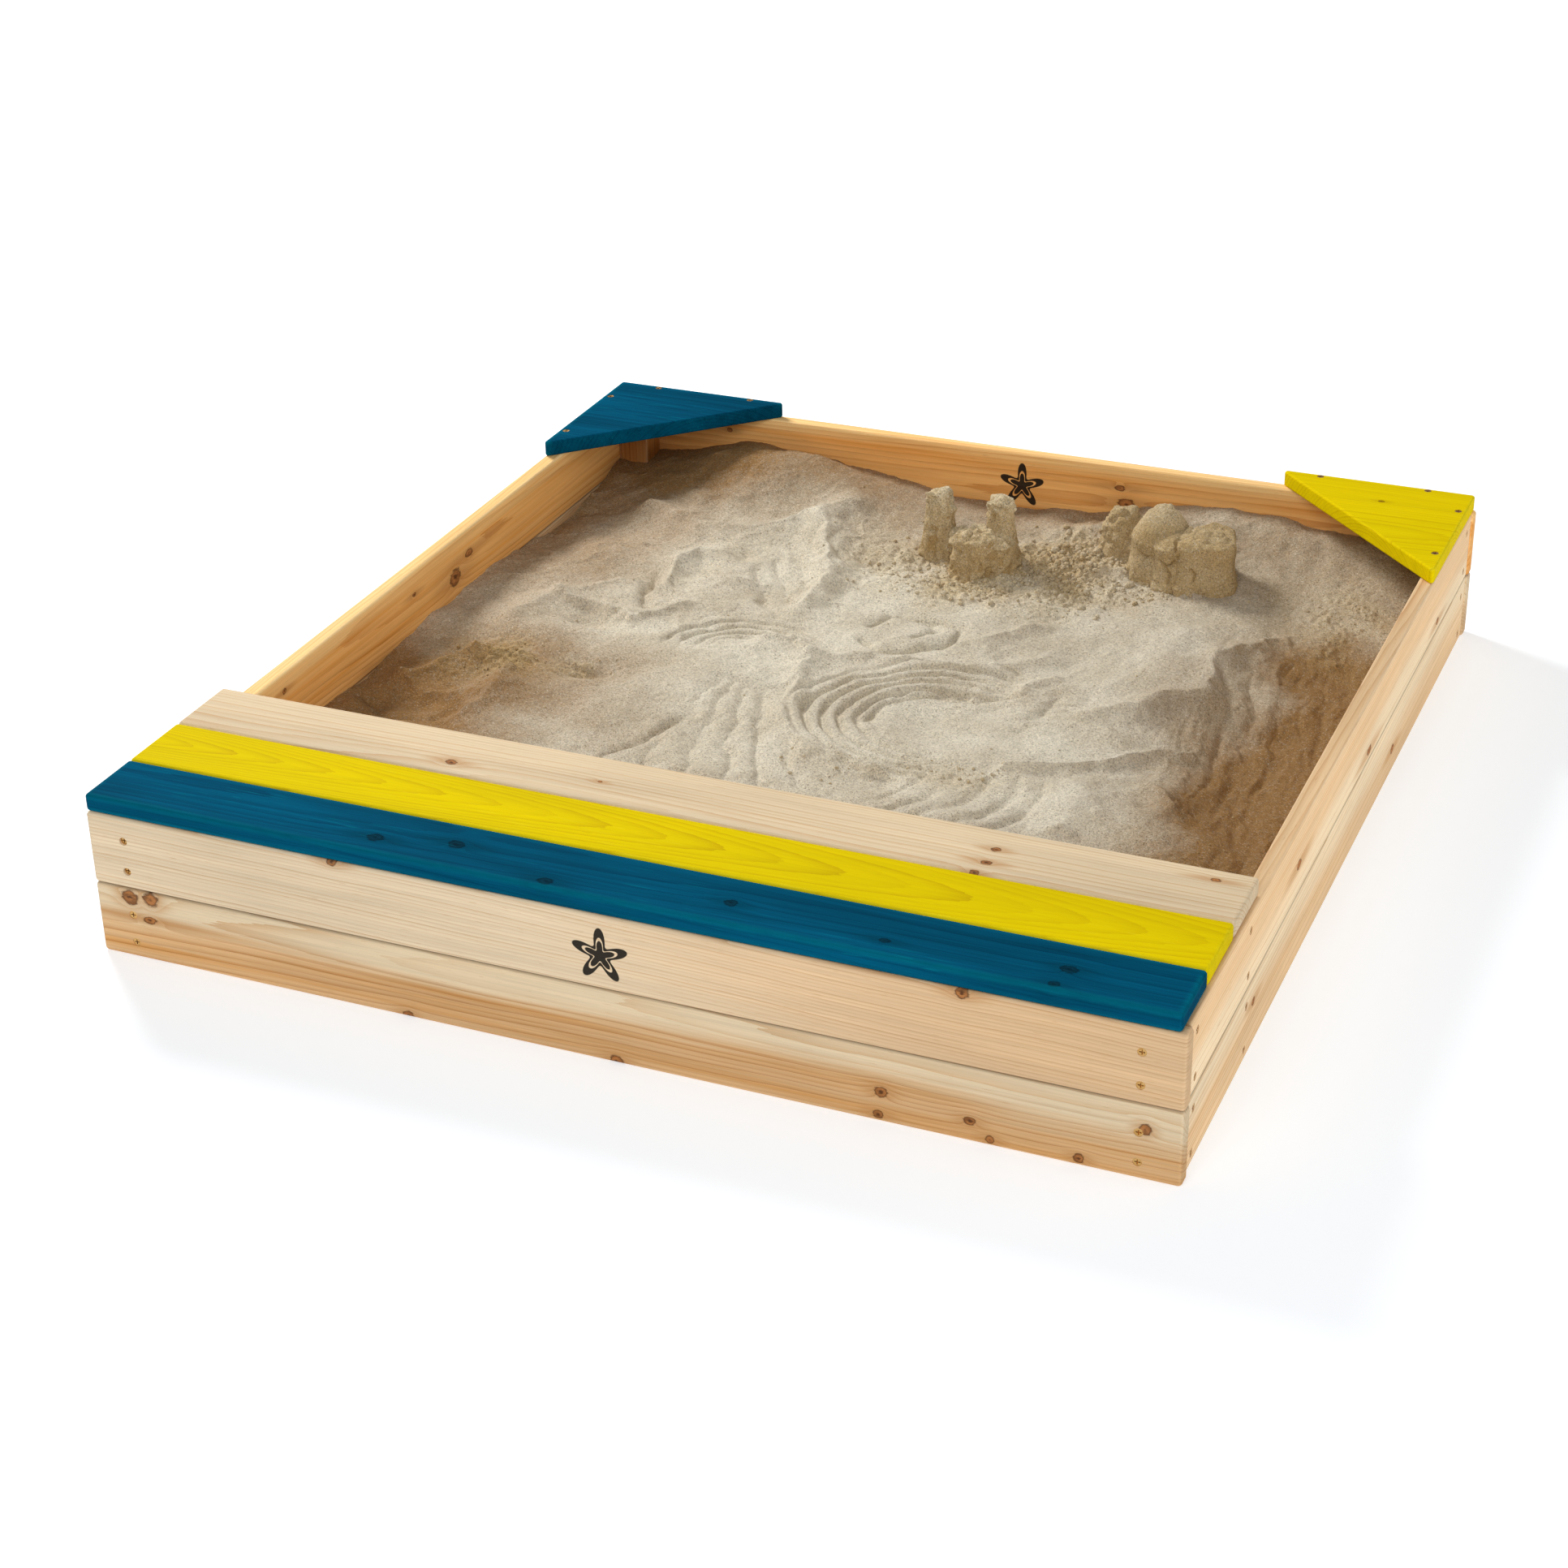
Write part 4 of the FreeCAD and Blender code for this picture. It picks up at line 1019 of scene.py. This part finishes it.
def floorMaterial():
    # pale, with a glow of its own that grows with the distance from the sandbox
    material, look = newMaterial("pale_floor")
    place = objectPlace()
    slow = grainNoise(place, (0.8, 0.8, 0.8), (1, 1, 1), 2.0)
    plug(mixColour(slow, stage["floor"], tuple(v + 0.01 for v in stage["floor"])), look["Base Color"])
    away = vectorCalc("LENGTH", place)
    glow = step(away, stage["near"], stage["far"], stage["glow"], stage["farGlow"])
    # no glow under the box, up to the inset from the walls' outer faces
    outside = [calc("GREATER_THAN", calc("ABSOLUTE", part), reach - stage["inset"])
               for part, reach in zip(split("XYZ", place), cadBounds[1][:2])]
    plug(glow * calc("MAXIMUM", *outside), look["Emission Strength"])
    look["Emission Color"].default_value = (1.0, 1.0, 1.0, 1.0)
    look["Roughness"].default_value = 0.9
    look["Specular IOR Level"].default_value = 0.0
    return material


edge = stage["size"] / 2
corners = np.array([(-edge, -edge, 0), (edge, -edge, 0), (edge, edge, 0), (-edge, edge, 0)])
floor = meshPiece("floor", corners, [[0, 1, 2, 3]], floorMaterial())

world = bpy.data.worlds.new("studio")
scene.world = world
world.use_nodes = True
work["tree"] = world.node_tree
background = world.node_tree.nodes["Background"].inputs
# white where the backdrop itself is seen, softer as a light
seen = addNode("LightPath", {}).outputs["Is Camera Ray"]
plug(step(seen, 0.0, 1.0, stage["world"], 1.0), background["Strength"])
background["Color"].default_value = (1.0, 1.0, 1.0, 1.0)


def softbox(name, place, size, power):
    # a lamp as wide and as tall as size says, turned to the sandbox
    light = bpy.data.lights.new(name, "AREA")
    light.shape, light.energy = "ELLIPSE", power
    light.size, light.size_y = size
    lamp = bpy.data.objects.new(name, light)
    lamp.location = place
    lamp.rotation_euler = (Vector((0, 0, 0.1)) - Vector(place)).to_track_quat("-Z", "Y").to_euler()
    scene.collection.objects.link(lamp)


softbox("key", (-2.6, 1.75, 2.5), (1.2, 1.2), stage["key"])
softbox("front_fill", (0.6, -3.1, 2.5), (2.4, 2.4), stage["fill"])
softbox("side_fill", (3.3, 0.2, 0.55), (3.0, 0.9), stage["sideFill"])

view = {"eye": (1.1556, -2.8576, 1.6385), "heading": 23.379, "dip": 28.132, "roll": -1.204,
        "lens": 68.66}
lens = bpy.data.cameras.new("camera")
lens.lens, lens.sensor_width = view["lens"], 36.0
lens.clip_end = 100.0
camera = bpy.data.objects.new("camera", lens)
scene.collection.objects.link(camera)
camera.matrix_world = (Matrix.Translation(view["eye"]) @ Matrix.Rotation(radians(view["heading"]), 4, "Z")
                       @ Matrix.Rotation(pi / 2 - radians(view["dip"]), 4, "X")
                       @ Matrix.Rotation(radians(view["roll"]), 4, "Z"))
scene.camera = camera
scene.view_settings.view_transform = "Standard"
print("sandbox: stage done")
